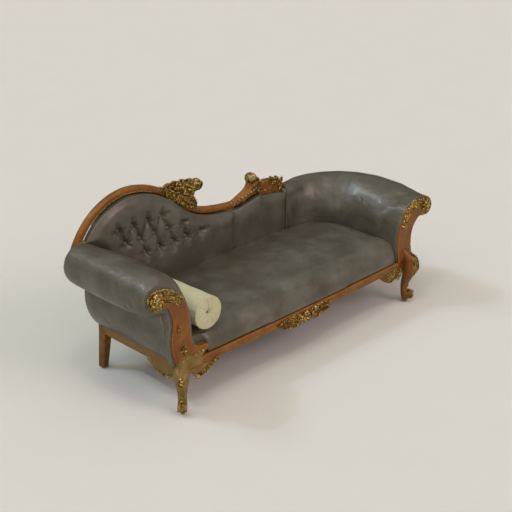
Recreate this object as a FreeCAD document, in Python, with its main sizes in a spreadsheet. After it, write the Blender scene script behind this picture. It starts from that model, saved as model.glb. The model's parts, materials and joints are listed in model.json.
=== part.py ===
import FreeCAD, Part
import math
import os

from FreeCAD import Placement, Rotation, Vector

# Driving dimensions in millimetres. X runs from the head end (-) to the foot end (+),
# Y from the front (-) to the back (+), Z up from the floor.
DIMENSIONS = [
    ("frame_length", 1784, "seat frame over the side rails"),
    ("frame_front", 338, "front face of the seat frame, forward of the origin"),
    ("frame_back", 325, "rear face of the seat frame, behind the origin"),
    ("rail_bottom", 221, "underside of the seat rails"),
    ("rail_height", 49, "height of the seat rails"),
    ("rail_thick", 36, "thickness of the seat rails"),
    ("rail_bow", 12, "outward bow of the front rail at mid length"),
    ("rail_edge", 6, "rounding of the front rail's show edges"),
    ("post_size", 56, "square top of a front leg inside the frame"),
    ("foot_beyond_side", 8, "front foot beyond the frame's end"),
    ("foot_beyond_front", 17, "front foot beyond the frame's front"),
    ("volute_out", 24, "scroll of the front foot, out from the foot along the diagonal"),
    ("volute_height", 50, "axis of the front foot's scroll above the floor"),
    ("volute_radius", 22, "scroll of the front foot"),
    ("volute_width", 50, "scroll of the front foot"),
    ("rear_leg_top", 54, "rear leg at the frame"),
    ("rear_leg_sole", 42, "rear leg at the floor"),
    ("rear_leg_splay", 10, "sideways splay of a rear leg's sole"),
    ("rear_leg_rake", 6, "backward rake of a rear leg's sole"),
    ("rear_leg_chamfer", 4, "chamfer down the corners of a rear leg"),
    ("glide_height", 6, "foot glide below the wood"),
    ("glide_radius", 11, "foot glide"),
    ("stretcher_width", 40, "cross stretcher"),
    ("stretcher_height", 28, "cross stretcher"),
    ("stretcher_share", 0.4, "stretchers from the middle, as a share of the outer springs"),
    ("block_leg", 96, "side of a corner block along a rail"),
    ("block_height", 34, "corner block"),
    ("block_relief", 6, "flat across a corner block's notch, where its screw comes out"),
    ("screw_radius", 3, "bench screw through a corner block"),
    ("bracket_thick", 22, "knee brackets"),
    ("bracket_ball", 14, "ball at the end of a knee bracket"),
    ("facing_thick", 42, "arm facing board"),
    ("facing_front", 345, "front face of the arm facings, forward of the origin"),
    ("facing_edge", 5, "rounding of the facings' front edge"),
    ("head_roll_out", 123, "centre of the head arm's roll beyond the frame's end"),
    ("head_roll_z", 685, "centre of the head arm's roll above the floor"),
    ("head_roll_radius", 108, "leather roll of the head arm"),
    ("foot_roll_out", 149, "centre of the foot arm's roll beyond the frame's end"),
    ("foot_roll_z", 582, "centre of the foot arm's roll above the floor"),
    ("foot_roll_radius", 82, "leather roll of the foot arm"),
    ("head_arm_thick", 97, "head arm's inner face, in from the frame's end"),
    ("foot_arm_thick", 70, "foot arm's inner face, in from the frame's end"),
    ("ear_reach", 97, "head facing's foot beyond the arm's inner face"),
    ("arm_swell", 60, "outer arm panel beyond the side rail"),
    ("back_face", 266, "front face of the back's padding, behind the origin"),
    ("crest_front", 293, "front face of the crest rail, behind the origin"),
    ("crest_depth", 40, "crest rail from front to back"),
    ("crest_height", 40, "crest rail across its run"),
    ("crest_edge", 9, "chamfer along the crest rail"),
    ("tuft_seam", 70, "seam between the buttoned and the plain back"),
    ("wing_run", 317, "foot wing along the back, from the arm's inner face to its seam"),
    ("wing_corner", 222, "radius of the wing's inner corner"),
    ("back_roll_z", 603, "centre of the roll along the wing's back"),
    ("back_roll_radius", 65, "roll along the wing's back"),
    ("seat_edge", 400, "top of the seat beside the arms"),
    ("seat_rise", 30, "crown of the seat above its edge"),
    ("seat_round", 105, "rounding of the seat's front"),
    ("arm_rail", 36, "square rails inside the arms"),
    ("stile_width", 50, "stiles inside the back"),
    ("sheet_thick", 2, "hessian, webbing and dust cover"),
    ("cover_thick", 3, "outer leather covers"),
    ("webbing_width", 50, "webbing strip"),
    ("spring_radius", 36, "seat spring"),
    ("spring_wire", 4, "seat spring wire"),
    ("spring_height", 110, "seat spring"),
    ("spring_inset", 252, "outer springs in from the frame's ends"),
    ("bolster_radius", 92, "bolster"),
    ("bolster_length", 560, "bolster"),
    ("bolster_off_arm", 13, "bolster from the head arm's inner face"),
    ("bolster_front", 335, "front end of the bolster, forward of the origin"),
    ("bolster_round", 10, "chamfer round the bolster's ends"),
    ("button_radius", 8, "tufting button"),
    ("button_height", 5, "tufting button"),
    ("tuft_pitch", 98.5, "tufting buttons along a row"),
    ("tuft_rise", 87, "between rows of tufting buttons"),
    ("tuft_top", 792, "top row of tufting buttons above the floor"),
    ("gap", 0.3, "clearance between a soft piece and its neighbour"),
]

doc = FreeCAD.newDocument("Sofa")
sheet = doc.addObject("Spreadsheet::Sheet", "Size")
for row, (alias, value, meaning) in enumerate(DIMENSIONS, start=1):
    sheet.set("A%d" % row, str(value))
    sheet.setAlias("A%d" % row, alias)
    sheet.set("B%d" % row, meaning)
doc.recompute()


def size(alias):
    return float(sheet.get(alias))


RAIL_TOP = size("rail_bottom") + size("rail_height")
HALF_FRAME = size("frame_length") / 2
FRONT = -size("frame_front")
BACK = size("frame_back")
GAP = size("gap")
FACING_FRONT = -size("facing_front")
FACING_BACK = FACING_FRONT + size("facing_thick")
CREST_BACK = size("crest_front") + size("crest_depth")
PAD_BACK = size("crest_front") + 4
FOOT_X = HALF_FRAME + size("foot_beyond_side")
FOOT_Y = size("frame_front") + size("foot_beyond_front")
HEAD_INNER = HALF_FRAME - size("head_arm_thick")
FOOT_INNER = HALF_FRAME - size("foot_arm_thick")
HEAD_ROLL_X = HALF_FRAME + size("head_roll_out")
FOOT_ROLL_X = HALF_FRAME + size("foot_roll_out")
EAR = size("ear_reach") - HEAD_INNER
WING_SEAM = FOOT_INNER - size("wing_run")
BOLSTER_X = HEAD_INNER - size("bolster_off_arm") - size("bolster_radius")
# The crest and its carving are drawn for a frame 1784 long and stretch with the frame.
STRETCH = size("frame_length") / 1784
SEAT_CROWN = size("seat_edge") + size("seat_rise")
STILE_FRONT = PAD_BACK + 0.5
nodes = []


def keep(feature, label):
    feature.Label = label
    nodes.append(feature)
    return feature


def bind(feature, **expressions):
    for prop, expression in expressions.items():
        feature.setExpression(prop.replace("__", "."), expression)


def add_box(label, length, width, height, x, y, z, node=True):
    box = doc.addObject("Part::Box", label)
    bind(box, Length=length, Width=width, Height=height)
    bind(box, Placement__Base__x=x, Placement__Base__y=y, Placement__Base__z=z)
    if node:
        keep(box, label)
    return box


def add_shape(label, shape):
    feature = doc.addObject("Part::Feature", label)
    feature.Shape = shape
    return keep(feature, label)


def add_largest(label, shape):
    """Keeps the main solid of a cut that leaves small offcuts."""
    return add_shape(label, max(shape.Solids, key=lambda solid: solid.Volume))


def group(label, members):
    compound = doc.addObject("Part::Compound", label)
    compound.Links = members
    return keep(compound, label)


def trace(start, *steps):
    """Curves from start through the steps: a point is a line, a pair of points an arc."""
    curves = []
    here = start
    for step in steps:
        if isinstance(step, tuple):
            through, there = step
            curves.append(Part.Arc(here, through, there))
        else:
            there = step
            if there.isEqual(here, 1e-7):
                continue
            curves.append(Part.LineSegment(here, there))
        here = there
    return curves


def wire(curves):
    return Part.Wire([curve.toShape() for curve in curves])


def faceted(curves, runs):
    """The same outline with each curve as some straight runs, for plain soft solids."""
    points = []
    for curve, count in zip(curves, runs):
        points += curve.toShape().discretize(count + 1)[:-1]
    return Part.makePolygon(points + points[:1])


def prism(curves, along):
    return Part.Face(wire(curves)).extrude(along)


def prism_y(curves, front, back):
    """A prism of an (x, z) outline between two planes across Y."""
    outline = wire(curves)
    outline.rotate(Vector(0, 0, 0), Vector(1, 0, 0), 90)
    solid = Part.Face(outline).extrude(Vector(0, back - front, 0))
    solid.translate(Vector(0, front, 0))
    return solid


def prism_x(curves, left, right):
    """A prism of a (y, z) outline between two planes across X."""
    outline = wire(curves)
    outline.rotate(Vector(0, 0, 0), Vector(1, 0, 0), 90)
    outline.rotate(Vector(0, 0, 0), Vector(0, 0, 1), 90)
    solid = Part.Face(outline).extrude(Vector(right - left, 0, 0))
    solid.translate(Vector(left, 0, 0))
    return solid


def polar(centre, radius, degrees):
    angle = math.radians(degrees)
    return centre + Vector(math.cos(angle), math.sin(angle), 0) * radius


def sketch_on(body, name, plane, curves, offset):
    sketch = body.newObject("Sketcher::SketchObject", name)
    planes = {feature.Role: feature for feature in body.Origin.OriginFeatures}
    sketch.AttachmentSupport = [(planes[plane], "")]
    sketch.MapMode = "FlatFace"
    sketch.AttachmentOffset = offset
    for curve in curves:
        sketch.addGeometry(curve, False)
    return sketch


def turned_ball(radius, centre):
    """A ball turned about a vertical axis as four straight bands."""
    heights = (-1, -0.62, 0, 0.62, 1)
    rings = [radius * r for r in (0.42, 0.86, 1.03, 0.86, 0.42)]
    profile = [Vector(0, 0, radius * heights[0])]
    profile += [Vector(ring, 0, radius * height) for ring, height in zip(rings, heights)]
    profile.append(Vector(0, 0, radius * heights[-1]))
    outline = Part.makePolygon(profile + profile[:1])
    ball = Part.Face(outline).revolve(Vector(0, 0, 0), Vector(0, 0, 1), 360)
    ball.translate(centre)
    return ball


def lift(distance):
    return Placement(Vector(0, 0, distance), Rotation())


def board(name, curves, back, thick):
    """A body padded forwards, towards -Y, from the plane at y = back."""
    body = doc.addObject("PartDesign::Body", name)
    sketch = sketch_on(body, name + "Outline", "XZ_Plane", curves, lift(-back))
    pad = body.newObject("PartDesign::Pad", name + "Pad")
    pad.Profile = sketch
    bind(pad, Length=thick)
    doc.recompute()
    body.Tip = pad
    return body, pad


def round_front(body, pad, name, radius, rounded):
    """Rounds the arcs of the front face that pass through the rounded points."""
    front = pad.Shape.BoundBox.YMin
    marks = [Part.Vertex(Vector(point.x, front, point.y)) for point in rounded]
    edges = []
    for number, edge in enumerate(pad.Shape.Edges, start=1):
        if any(edge.distToShape(mark)[0] < 0.01 for mark in marks):
            edges.append("Edge%d" % number)
    fillet = body.newObject("PartDesign::Fillet", name + "Edge")
    fillet.Base = (pad, edges)
    bind(fillet, Radius=radius)
    doc.recompute()
    body.Tip = fillet


# Seat frame
def front_seat_rail():
    half = HALF_FRAME - size("post_size")
    inner = FRONT + size("rail_thick")
    bow = Vector(0, FRONT - size("rail_bow"), 0)
    curves = trace(
        Vector(-half, inner, 0),
        Vector(-half, FRONT, 0),
        (bow, Vector(half, FRONT, 0)),
        Vector(half, inner, 0),
        Vector(-half, inner, 0),
    )
    body = doc.addObject("PartDesign::Body", "FrontRail")
    pad = body.newObject("PartDesign::Pad", "FrontRailPad")
    pad.Profile = sketch_on(body, "FrontRailPlan", "XY_Plane", curves, lift(size("rail_bottom")))
    bind(pad, Length="Size.rail_height")
    doc.recompute()
    bowed = []
    for number, edge in enumerate(pad.Shape.Edges, start=1):
        if isinstance(edge.Curve, Part.Circle):
            bowed.append("Edge%d" % number)
    fillet = body.newObject("PartDesign::Fillet", "FrontRailEdge")
    fillet.Base = (pad, bowed)
    bind(fillet, Radius="Size.rail_edge")
    body.Tip = fillet
    return keep(body, "front_seat_rail")


def straight_rails():
    add_box(
        "back_seat_rail",
        "Size.frame_length - 2 * Size.rear_leg_top",
        "Size.rail_thick",
        "Size.rail_height",
        "-Size.frame_length / 2 + Size.rear_leg_top",
        "Size.frame_back - Size.rail_thick",
        "Size.rail_bottom",
    )
    side_length = "Size.frame_front + Size.frame_back - Size.post_size - Size.rear_leg_top"
    side_front = "-Size.frame_front + Size.post_size"
    for label, x in (
        ("left_side_rail", "-Size.frame_length / 2"),
        ("right_side_rail", "Size.frame_length / 2 - Size.rail_thick"),
    ):
        add_box(label, "Size.rail_thick", side_length, "Size.rail_height", x, side_front, "Size.rail_bottom")


def seat_stretchers():
    bars = []
    for number, sign in enumerate((-1, 1), start=1):
        bar = add_box(
            "stretcher_%d" % number,
            "Size.stretcher_width",
            "Size.frame_front + Size.frame_back - 2 * Size.rail_thick",
            "Size.stretcher_height",
            "%d * Size.stretcher_share * (Size.frame_length / 2 - Size.spring_inset)"
            " - Size.stretcher_width / 2" % sign,
            "-Size.frame_front + Size.rail_thick",
            "Size.rail_bottom",
            node=False,
        )
        bars.append(bar)
    group("seat_stretchers", bars)


def corner_blocks_and_screws():
    """Blocks glued into the frame's corners, notched round the legs, each with a screw."""
    blocks = []
    screws = []
    side = size("block_leg")
    relief = size("block_relief")
    half_height = Vector(0, 0, size("block_height") / 2)
    for sign_x in (-1, 1):
        for sign_y, post, edge_y in ((-1, size("post_size"), FRONT), (1, size("rear_leg_top"), BACK)):
            notch = post - size("rail_thick")
            corner = Vector(
                sign_x * (HALF_FRAME - size("rail_thick")),
                edge_y - sign_y * size("rail_thick"),
                size("rail_bottom"),
            )
            half_plan = ((side, 0), (notch, 0), (notch, notch - relief), (notch + relief, notch))
            other_half = [(in_y, in_x) for in_x, in_y in reversed(half_plan)]
            plan = []
            for in_x, in_y in (*half_plan, *other_half):
                plan.append(corner + Vector(-sign_x * in_x, -sign_y * in_y, 0))
            block = prism(trace(plan[0], *plan[1:], plan[0]), half_height * 2)
            inward = Vector(-sign_x, -sign_y, 0).normalize()
            tip = (plan[3] + plan[4]) / 2 + half_height
            screw = Part.makeCylinder(size("screw_radius"), side, tip, inward)
            screws.append(screw.common(block))
            blocks.append(block.cut(screw))
    add_shape("corner_blocks", Part.makeCompound(blocks))
    add_shape("corner_block_screws", Part.makeCompound(screws))


# A front leg is a cabriole on the corner's diagonal. Each station gives the height, how far
# its centre stands out from the foot, and its half sizes along and across the diagonal.
LEG_STATIONS = [
    (350, 2, 13, 15),
    (338, 5, 22, 24),
    (318, 10, 31, 32),
    (292, 17, 41, 39),
    (255, 21, 45, 43),
    (226, 19, 43, 42),
    (200, 13, 39, 38),
    (168, 5, 33, 33),
    (138, -5, 27, 29),
    (108, -12, 22, 25),
    (74, -12, 20, 24),
    (46, -6, 24, 27),
    (20, -4, 20, 22),
    (6, -4, 12, 13),
]
LEG_SIDES = 14


def cabriole_loft():
    body = doc.addObject("PartDesign::Body", "FrontLeg")
    diagonal = Vector(-1, -1, 0).normalize()
    sections = []
    for number, (height, out, along, across) in enumerate(LEG_STATIONS):
        corners = []
        for side in range(LEG_SIDES):
            turn = 2 * math.pi * side / LEG_SIDES
            corners.append(Vector(along * math.cos(turn), across * math.sin(turn), 0))
        centre = Vector(-FOOT_X, -FOOT_Y, height) + diagonal * out
        offset = Placement(centre, Rotation(Vector(0, 0, 1), 45))
        outline = trace(corners[0], *corners[1:], corners[0])
        sections.append(sketch_on(body, "LegSection%d" % number, "XY_Plane", outline, offset))
    loft = body.newObject("PartDesign::AdditiveLoft", "LegLoft")
    loft.Profile = sections[0]
    loft.Sections = sections[1:]
    loft.Ruled = True
    doc.recompute()
    body.Tip = loft
    return body


def front_legs(left_facing, right_facing):
    diagonal = Vector(-1, -1, 0).normalize()
    across = Vector(1, -1, 0).normalize()
    volute = doc.addObject("Part::Cylinder", "FootVolute")
    bind(volute, Radius="Size.volute_radius", Height="Size.volute_width")
    foot = Vector(-FOOT_X, -FOOT_Y, size("volute_height"))
    start = foot + diagonal * size("volute_out") - across * (size("volute_width") / 2)
    volute.Placement = Placement(start, Rotation(Vector(0, 0, 1), across))
    post = add_box(
        "FrontPost",
        "Size.post_size",
        "Size.post_size",
        "Size.rail_height",
        "-Size.frame_length / 2",
        "-Size.frame_front",
        "Size.rail_bottom",
        node=False,
    )
    whole = doc.addObject("Part::MultiFuse", "FrontLegWhole")
    whole.Shapes = [cabriole_loft(), volute, post]
    mirrored = doc.addObject("Part::Mirroring", "FrontLegMirrored")
    mirrored.Source = whole
    mirrored.Normal = Vector(1, 0, 0)
    left = doc.addObject("Part::Cut", "FrontLeftLeg")
    left.Base = whole
    left.Tool = left_facing
    right = doc.addObject("Part::Cut", "FrontRightLeg")
    right.Base = mirrored
    right.Tool = right_facing
    return keep(left, "front_left_leg"), keep(right, "front_right_leg")


def rear_leg(label, sign):
    top = size("rear_leg_top")
    sole = size("rear_leg_sole")
    outer = sign * HALF_FRAME
    sections = []
    for height, width, splay, rake in (
        (RAIL_TOP, top, 0, 0),
        (size("rail_bottom"), top, 0, 0),
        (size("glide_height"), sole, size("rear_leg_splay"), size("rear_leg_rake")),
    ):
        x = outer + sign * splay
        y = BACK + rake
        cut = size("rear_leg_chamfer")
        corners = []
        for step_x, step_y in ((0, cut), (cut, 0), (width - cut, 0), (width, cut)):
            corners.append(Vector(x - sign * step_x, y - step_y, height))
        for step_x, step_y in ((width, width - cut), (width - cut, width), (cut, width), (0, width - cut)):
            corners.append(Vector(x - sign * step_x, y - step_y, height))
        sections.append(Part.makePolygon(corners + corners[:1]))
    add_shape(label, Part.makeLoft(sections, True, True))


def foot_glides():
    glides = []
    sole = size("rear_leg_sole") / 2
    rear_x = HALF_FRAME + size("rear_leg_splay") - sole
    rear_y = BACK + size("rear_leg_rake") - sole
    inset = 4 * math.sqrt(0.5)
    front_x = FOOT_X - inset
    front_y = -FOOT_Y + inset
    for number, (x, y) in enumerate(
        ((-front_x, front_y), (front_x, front_y), (-rear_x, rear_y), (rear_x, rear_y)), start=1
    ):
        glide = doc.addObject("Part::Cylinder", "glide_%d" % number)
        bind(glide, Radius="Size.glide_radius", Height="Size.glide_height")
        glide.Placement = Placement(Vector(x, y, 0), Rotation())
        glides.append(glide)
    group("foot_glides", glides)


# Knee brackets run from a leg under the rail and end in a small ball.
def knee_bracket(start, ball, leg_side):
    """Outline (along the rail, z) of a bracket from its thin end to the leg, and its ball."""
    low = size("rail_bottom")
    way = 1 if leg_side > start else -1
    outline = trace(
        Vector(start, low, 0),
        (Vector(start + way * 42, low - 42, 0), Vector(ball - way * 12, low - 64, 0)),
        (Vector(ball + way * 10, low - 58, 0), Vector(ball + way * 24, low - 26, 0)),
        Vector(leg_side, low - 20, 0),
        Vector(leg_side, low, 0),
        Vector(start, low, 0),
    )
    return outline, ball, low - 52


def front_bracket(label, leg, sign, start, ball, leg_side):
    outline, ball_x, ball_z = knee_bracket(start, ball, leg_side)
    thick = size("bracket_thick")
    solid = prism_y(outline, FRONT, FRONT + thick)
    solid = solid.fuse(turned_ball(size("bracket_ball"), Vector(ball_x, FRONT + thick / 2, ball_z)))
    if sign < 0:
        solid = solid.mirror(Vector(0, 0, 0), Vector(1, 0, 0))
    add_largest(label, solid.cut(leg))


def side_bracket(label, leg, face_x, start, ball, leg_side):
    outline, ball_y, ball_z = knee_bracket(start, ball, leg_side)
    thick = size("bracket_thick")
    inner_x = face_x - math.copysign(thick, face_x)
    solid = prism_x(outline, min(face_x, inner_x), max(face_x, inner_x))
    ball = turned_ball(size("bracket_ball"), Vector((face_x + inner_x) / 2, ball_y, ball_z))
    add_largest(label, solid.fuse(ball).cut(leg))


def brackets(left_leg, right_leg):
    """Each bracket's thin end and ball lie in from the frame's corner; its foot is on the leg."""
    on_leg = 30
    leg_x = HALF_FRAME - on_leg
    leg_y = FRONT + on_leg / 2
    front_bracket("left_front_bracket", left_leg, -1, HALF_FRAME - 258, HALF_FRAME - 120, leg_x)
    front_bracket("right_front_bracket", right_leg, 1, HALF_FRAME - 209, HALF_FRAME - 102, leg_x)
    side_bracket("left_side_bracket", left_leg, -HALF_FRAME, FRONT + 258, FRONT + 102, leg_y)
    side_bracket("right_side_bracket", right_leg, HALF_FRAME, FRONT + 258, FRONT + 102, leg_y)


# Arm facings: scroll-topped boards. Their outlines hang from the roll's centre above and
# from the rail below.
def head_facing():
    roll = Vector(-HEAD_ROLL_X, size("head_roll_z"), 0)
    foot = Vector(-HALF_FRAME, RAIL_TOP, 0)
    inner = Vector(-HEAD_INNER, RAIL_TOP, 0)
    ear = Vector(EAR, RAIL_TOP, 0)
    curves = trace(
        foot + Vector(-16, 0, 0),
        (foot + Vector(-44, 62, 0), foot + Vector(-51, 200, 0)),
        (roll + Vector(66, -91, 0), roll + Vector(49, -59, 0)),
        (roll + Vector(-4, -42, 0), roll + Vector(-52, -30, 0)),
        (roll + Vector(-81, 16, 0), roll + Vector(-28, 60, 0)),
        (roll + Vector(46, 50, 0), roll + Vector(108, 12, 0)),
        (roll + Vector(149, -34, 0), roll + Vector(173, -92, 0)),
        (roll + Vector(192, -186, 0), inner + Vector(-22, 150, 0)),
        (inner + Vector(1, 92, 0), ear + Vector(-22, 64, 0)),
        (ear + Vector(-2, 46, 0), ear + Vector(-22, 28, 0)),
        ear + Vector(-54, 0, 0),
        foot + Vector(-16, 0, 0),
    )
    body, pad = board("HeadFacing", curves, FACING_BACK, "Size.facing_thick")
    rounded = [roll + Vector(46, 50, 0), roll + Vector(149, -34, 0), roll + Vector(192, -186, 0)]
    round_front(body, pad, "HeadFacing", "Size.facing_edge", rounded)
    return keep(body, "left_arm_facing")


def foot_facing():
    roll = Vector(FOOT_ROLL_X, size("foot_roll_z"), 0)
    foot = Vector(HALF_FRAME, RAIL_TOP, 0)
    inner = Vector(FOOT_INNER, RAIL_TOP, 0)
    curves = trace(
        foot + Vector(70, 0, 0),
        (foot + Vector(52, 62, 0), foot + Vector(48, 150, 0)),
        (roll + Vector(-89, -119, 0), roll + Vector(-62, -82, 0)),
        (roll + Vector(-16, -57, 0), roll + Vector(28, -70, 0)),
        (roll + Vector(78, -26, 0), roll + Vector(24, 38, 0)),
        (roll + Vector(-84, 46, 0), roll + Vector(-172, -20, 0)),
        (roll + Vector(-205, -75, 0), roll + Vector(-220, -135, 0)),
        (inner + Vector(-4, 120, 0), inner + Vector(0, 60, 0)),
        inner + Vector(14, 0, 0),
        foot + Vector(70, 0, 0),
    )
    body, pad = board("FootFacing", curves, FACING_BACK, "Size.facing_thick")
    rounded = [roll + Vector(-84, 46, 0), roll + Vector(-205, -75, 0), inner + Vector(-4, 120, 0)]
    round_front(body, pad, "FootFacing", "Size.facing_edge", rounded)
    return keep(body, "right_arm_facing")


# The crest rail's middle line: a high arch at the head end, a dip, a low end.
CREST_DRAWN = [
    (-1062, 640),
    (-1032, 730),
    (-966, 838),
    (-850, 932),
    (-700, 975),
    (-545, 953),
    (-405, 884),
    (-265, 771),
    (-135, 707),
    (0, 680),
    (120, 672),
    (215, 692),
    (300, 705),
]
CREST_RUN = [(x * STRETCH, z) for x, z in CREST_DRAWN]


def crest_spline():
    spline = Part.BSplineCurve()
    spline.interpolate([Vector(x, z, 0) for x, z in CREST_RUN])
    return spline


def crest_side(distance, first, last, count):
    """Points beside the crest's middle line, at a signed distance above it."""
    spline = crest_spline()
    start = spline.parameter(Vector(first[0], first[1], 0))
    end = spline.parameter(Vector(last[0], last[1], 0))
    points = []
    for step in range(count + 1):
        value = start + (end - start) * step / count
        tangent = Vector(*spline.tangent(value)[0])
        normal = Vector(-tangent.y, tangent.x, 0)
        points.append(spline.value(value) + normal * distance)
    return points


def crest_below(x):
    """Height of the crest rail's underside at x."""
    lowest = crest_side(-size("crest_height") / 2, CREST_RUN[0], CREST_RUN[-1], 120)
    before, after = min(zip(lowest, lowest[1:]), key=lambda pair: abs((pair[0].x + pair[1].x) / 2 - x))
    share = (x - before.x) / (after.x - before.x)
    return before.y + (after.y - before.y) * share


def crest_rail():
    body = doc.addObject("PartDesign::Body", "CrestRail")
    middle = size("crest_front") + size("crest_depth") / 2
    spine = sketch_on(body, "CrestRun", "XZ_Plane", [crest_spline()], lift(-middle))
    half_depth = size("crest_depth") / 2
    half_height = size("crest_height") / 2
    edge = size("crest_edge")
    corners = [
        Vector(-half_depth + edge, half_height, 0),
        Vector(half_depth - edge, half_height, 0),
        Vector(half_depth, half_height - edge, 0),
        Vector(half_depth, -half_height + edge, 0),
        Vector(half_depth - edge, -half_height, 0),
        Vector(-half_depth + edge, -half_height, 0),
        Vector(-half_depth, -half_height + edge, 0),
        Vector(-half_depth, half_height - edge, 0),
    ]
    corner_curves = trace(corners[0], *corners[1:], corners[0])
    start = CREST_RUN[0]
    tangent = crest_spline().tangent(crest_spline().FirstParameter)[0]
    slope = Vector(tangent[0], 0, tangent[1]).normalize()
    upwards = Vector(-slope.z, 0, slope.x)
    section = body.newObject("Sketcher::SketchObject", "CrestSection")
    across = Vector(0, 1, 0)
    frame = FreeCAD.Matrix(
        across.x, upwards.x, slope.x, start[0],
        across.y, upwards.y, slope.y, middle,
        across.z, upwards.z, slope.z, start[1],
        0, 0, 0, 1,
    )
    planes = {feature.Role: feature for feature in body.Origin.OriginFeatures}
    section.AttachmentSupport = [(planes["XY_Plane"], "")]
    section.MapMode = "FlatFace"
    section.AttachmentOffset = Placement(frame)
    for curve in corner_curves:
        section.addGeometry(curve, False)
    pipe = body.newObject("PartDesign::AdditivePipe", "CrestPipe")
    pipe.Profile = section
    pipe.Spine = (spine, ["Edge1"])
    doc.recompute()
    body.Tip = pipe
    return keep(body, "crest_rail")



# Head arm: a padded wall that rolls outwards over its own top.
def head_arm_points():
    roll = Vector(-HEAD_ROLL_X, size("head_roll_z"), 0)
    radius = size("head_roll_radius")
    return {
        "roll": roll,
        "sill": Vector(-HEAD_INNER, RAIL_TOP + GAP, 0),
        "wall": Vector(-HEAD_INNER, 450, 0),
        "shoulder": roll + Vector(162, -25, 0),
        "roll_start": polar(roll, radius, 60),
        "roll_left": polar(roll, radius, 180),
        "roll_end": polar(roll, radius, 290),
        "panel_top": Vector(-HALF_FRAME - size("arm_swell") - 6, 500, 0),
        "panel_swell": Vector(-HALF_FRAME - size("arm_swell"), 380, 0),
        "panel_foot": Vector(-HALF_FRAME - 3, RAIL_TOP + GAP, 0),
    }


def head_arm_section(inset):
    """Outline of the padded arm; inset leaves room for the outer panel."""
    p = head_arm_points()
    step = Vector(inset, 0, 0)
    roll_end = p["roll_end"] + step
    return trace(
        p["sill"],
        p["wall"],
        (p["wall"] + Vector(-14, 112, 0), p["shoulder"]),
        (p["shoulder"] + Vector(-42, 72, 0), p["roll_start"]),
        (p["roll_left"], p["roll_end"]),
        roll_end,
        (roll_end + Vector(8, -40, 0), p["panel_top"] + step),
        (p["panel_swell"] + step, p["panel_foot"] + step),
        p["sill"],
    )


def head_outer_panel():
    p = head_arm_points()
    thick = Vector(size("cover_thick"), 0, 0)
    top = p["roll_end"] + Vector(0, -GAP, 0)
    return trace(
        top,
        (p["roll_end"] + Vector(8, -40, 0), p["panel_top"]),
        (p["panel_swell"], p["panel_foot"]),
        p["panel_foot"] + thick,
        (p["panel_swell"] + thick, p["panel_top"] + thick),
        (p["roll_end"] + Vector(8, -40, 0) + thick, top + thick),
        top,
    )


def bar_y(centre_x, centre_z, width, front, back):
    corner = Vector(centre_x - width / 2, front, centre_z - width / 2)
    return Part.makeBox(width, back - front, width, corner)


def head_arm():
    front = FACING_BACK + GAP
    back = size("crest_front") - GAP
    roll = head_arm_points()["roll"]
    rail = size("arm_rail")
    top_rail = bar_y(roll.x, roll.y, rail, FACING_BACK, size("crest_front"))
    tack_x = -(HEAD_INNER + HALF_FRAME) / 2 - size("cover_thick")
    tack_z = RAIL_TOP + 60
    tack_rail = bar_y(tack_x, tack_z, rail, FACING_BACK, STILE_FRONT - GAP)
    add_shape("left_arm_top_rail", top_rail)
    add_shape("left_arm_tack_rail", tack_rail)
    pad = prism_y(head_arm_section(size("cover_thick") + GAP), front, back)
    pad = pad.cut(bar_y(roll.x, roll.y, rail + 2 * GAP, front - 1, back + 1))
    pad = pad.cut(bar_y(tack_x, tack_z, rail + 2 * GAP, front - 1, back + 1))
    add_shape("left_arm_pad", pad)
    add_shape("left_outer_arm_cover", prism_y(head_outer_panel(), front, CREST_BACK))


# Foot wing: the padding runs along the back, turns the corner and becomes the foot arm.
# Each station gives its place on the inner line, the direction outwards in degrees, the
# roll (out, height, radius), its first and last angle, and how far the outer panel's
# middle and foot stand out.
WING_CORNER_BULGE = 50
WING_TAPER_Y = -140
CORNER_STEP = 15


def wing_stations():
    radius = size("wing_corner")
    corner_x = FOOT_INNER - radius
    corner_y = size("back_face") - radius
    back = {
        "roll": (CREST_BACK - size("back_face"), size("back_roll_z"), size("back_roll_radius")),
        "angles": (150, -40),
        "panel": (CREST_BACK - size("back_face"), BACK + 3 - size("back_face")),
    }
    arm = {
        "roll": (FOOT_ROLL_X - FOOT_INNER, size("foot_roll_z"), size("foot_roll_radius")),
        "angles": (120, -110),
        "panel": (HALF_FRAME + size("arm_swell") - FOOT_INNER, HALF_FRAME + 3 - FOOT_INNER),
    }
    front = dict(arm)
    front["roll"] = (arm["roll"][0] + 10, arm["roll"][1] - 17, arm["roll"][2] - 14)

    def station(x, y, turn, first, second, share, bulge):
        mixed = {key: tuple(a + (b - a) * share for a, b in zip(first[key], second[key])) for key in first}
        panel = tuple(value + bulge for value in mixed["panel"])
        return (x, y, turn, mixed["roll"], mixed["angles"], panel)

    places = []
    places.append(station(WING_SEAM + GAP, size("back_face"), 90, back, arm, 0, 0))
    for step in range(int(90 / CORNER_STEP) + 1):
        turn = 90 - CORNER_STEP * step
        angle = math.radians(turn)
        x = corner_x + radius * math.cos(angle)
        y = corner_y + radius * math.sin(angle)
        bulge = WING_CORNER_BULGE * math.sin(2 * angle)
        places.append(station(x, y, turn, back, arm, (90 - turn) / 90, bulge))
    places.append(station(FOOT_INNER, WING_TAPER_Y, 0, arm, arm, 0, 0))
    places.append(station(FOOT_INNER, FACING_BACK + GAP, 0, front, front, 0, 0))
    return places


def stand(points, x, y, turn):
    """Places (out, z) points at a station of the wing."""
    angle = math.radians(turn)
    out = Vector(math.cos(angle), math.sin(angle), 0)
    return [Vector(x, y, 0) + out * point.x + Vector(0, 0, point.y) for point in points]


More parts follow.
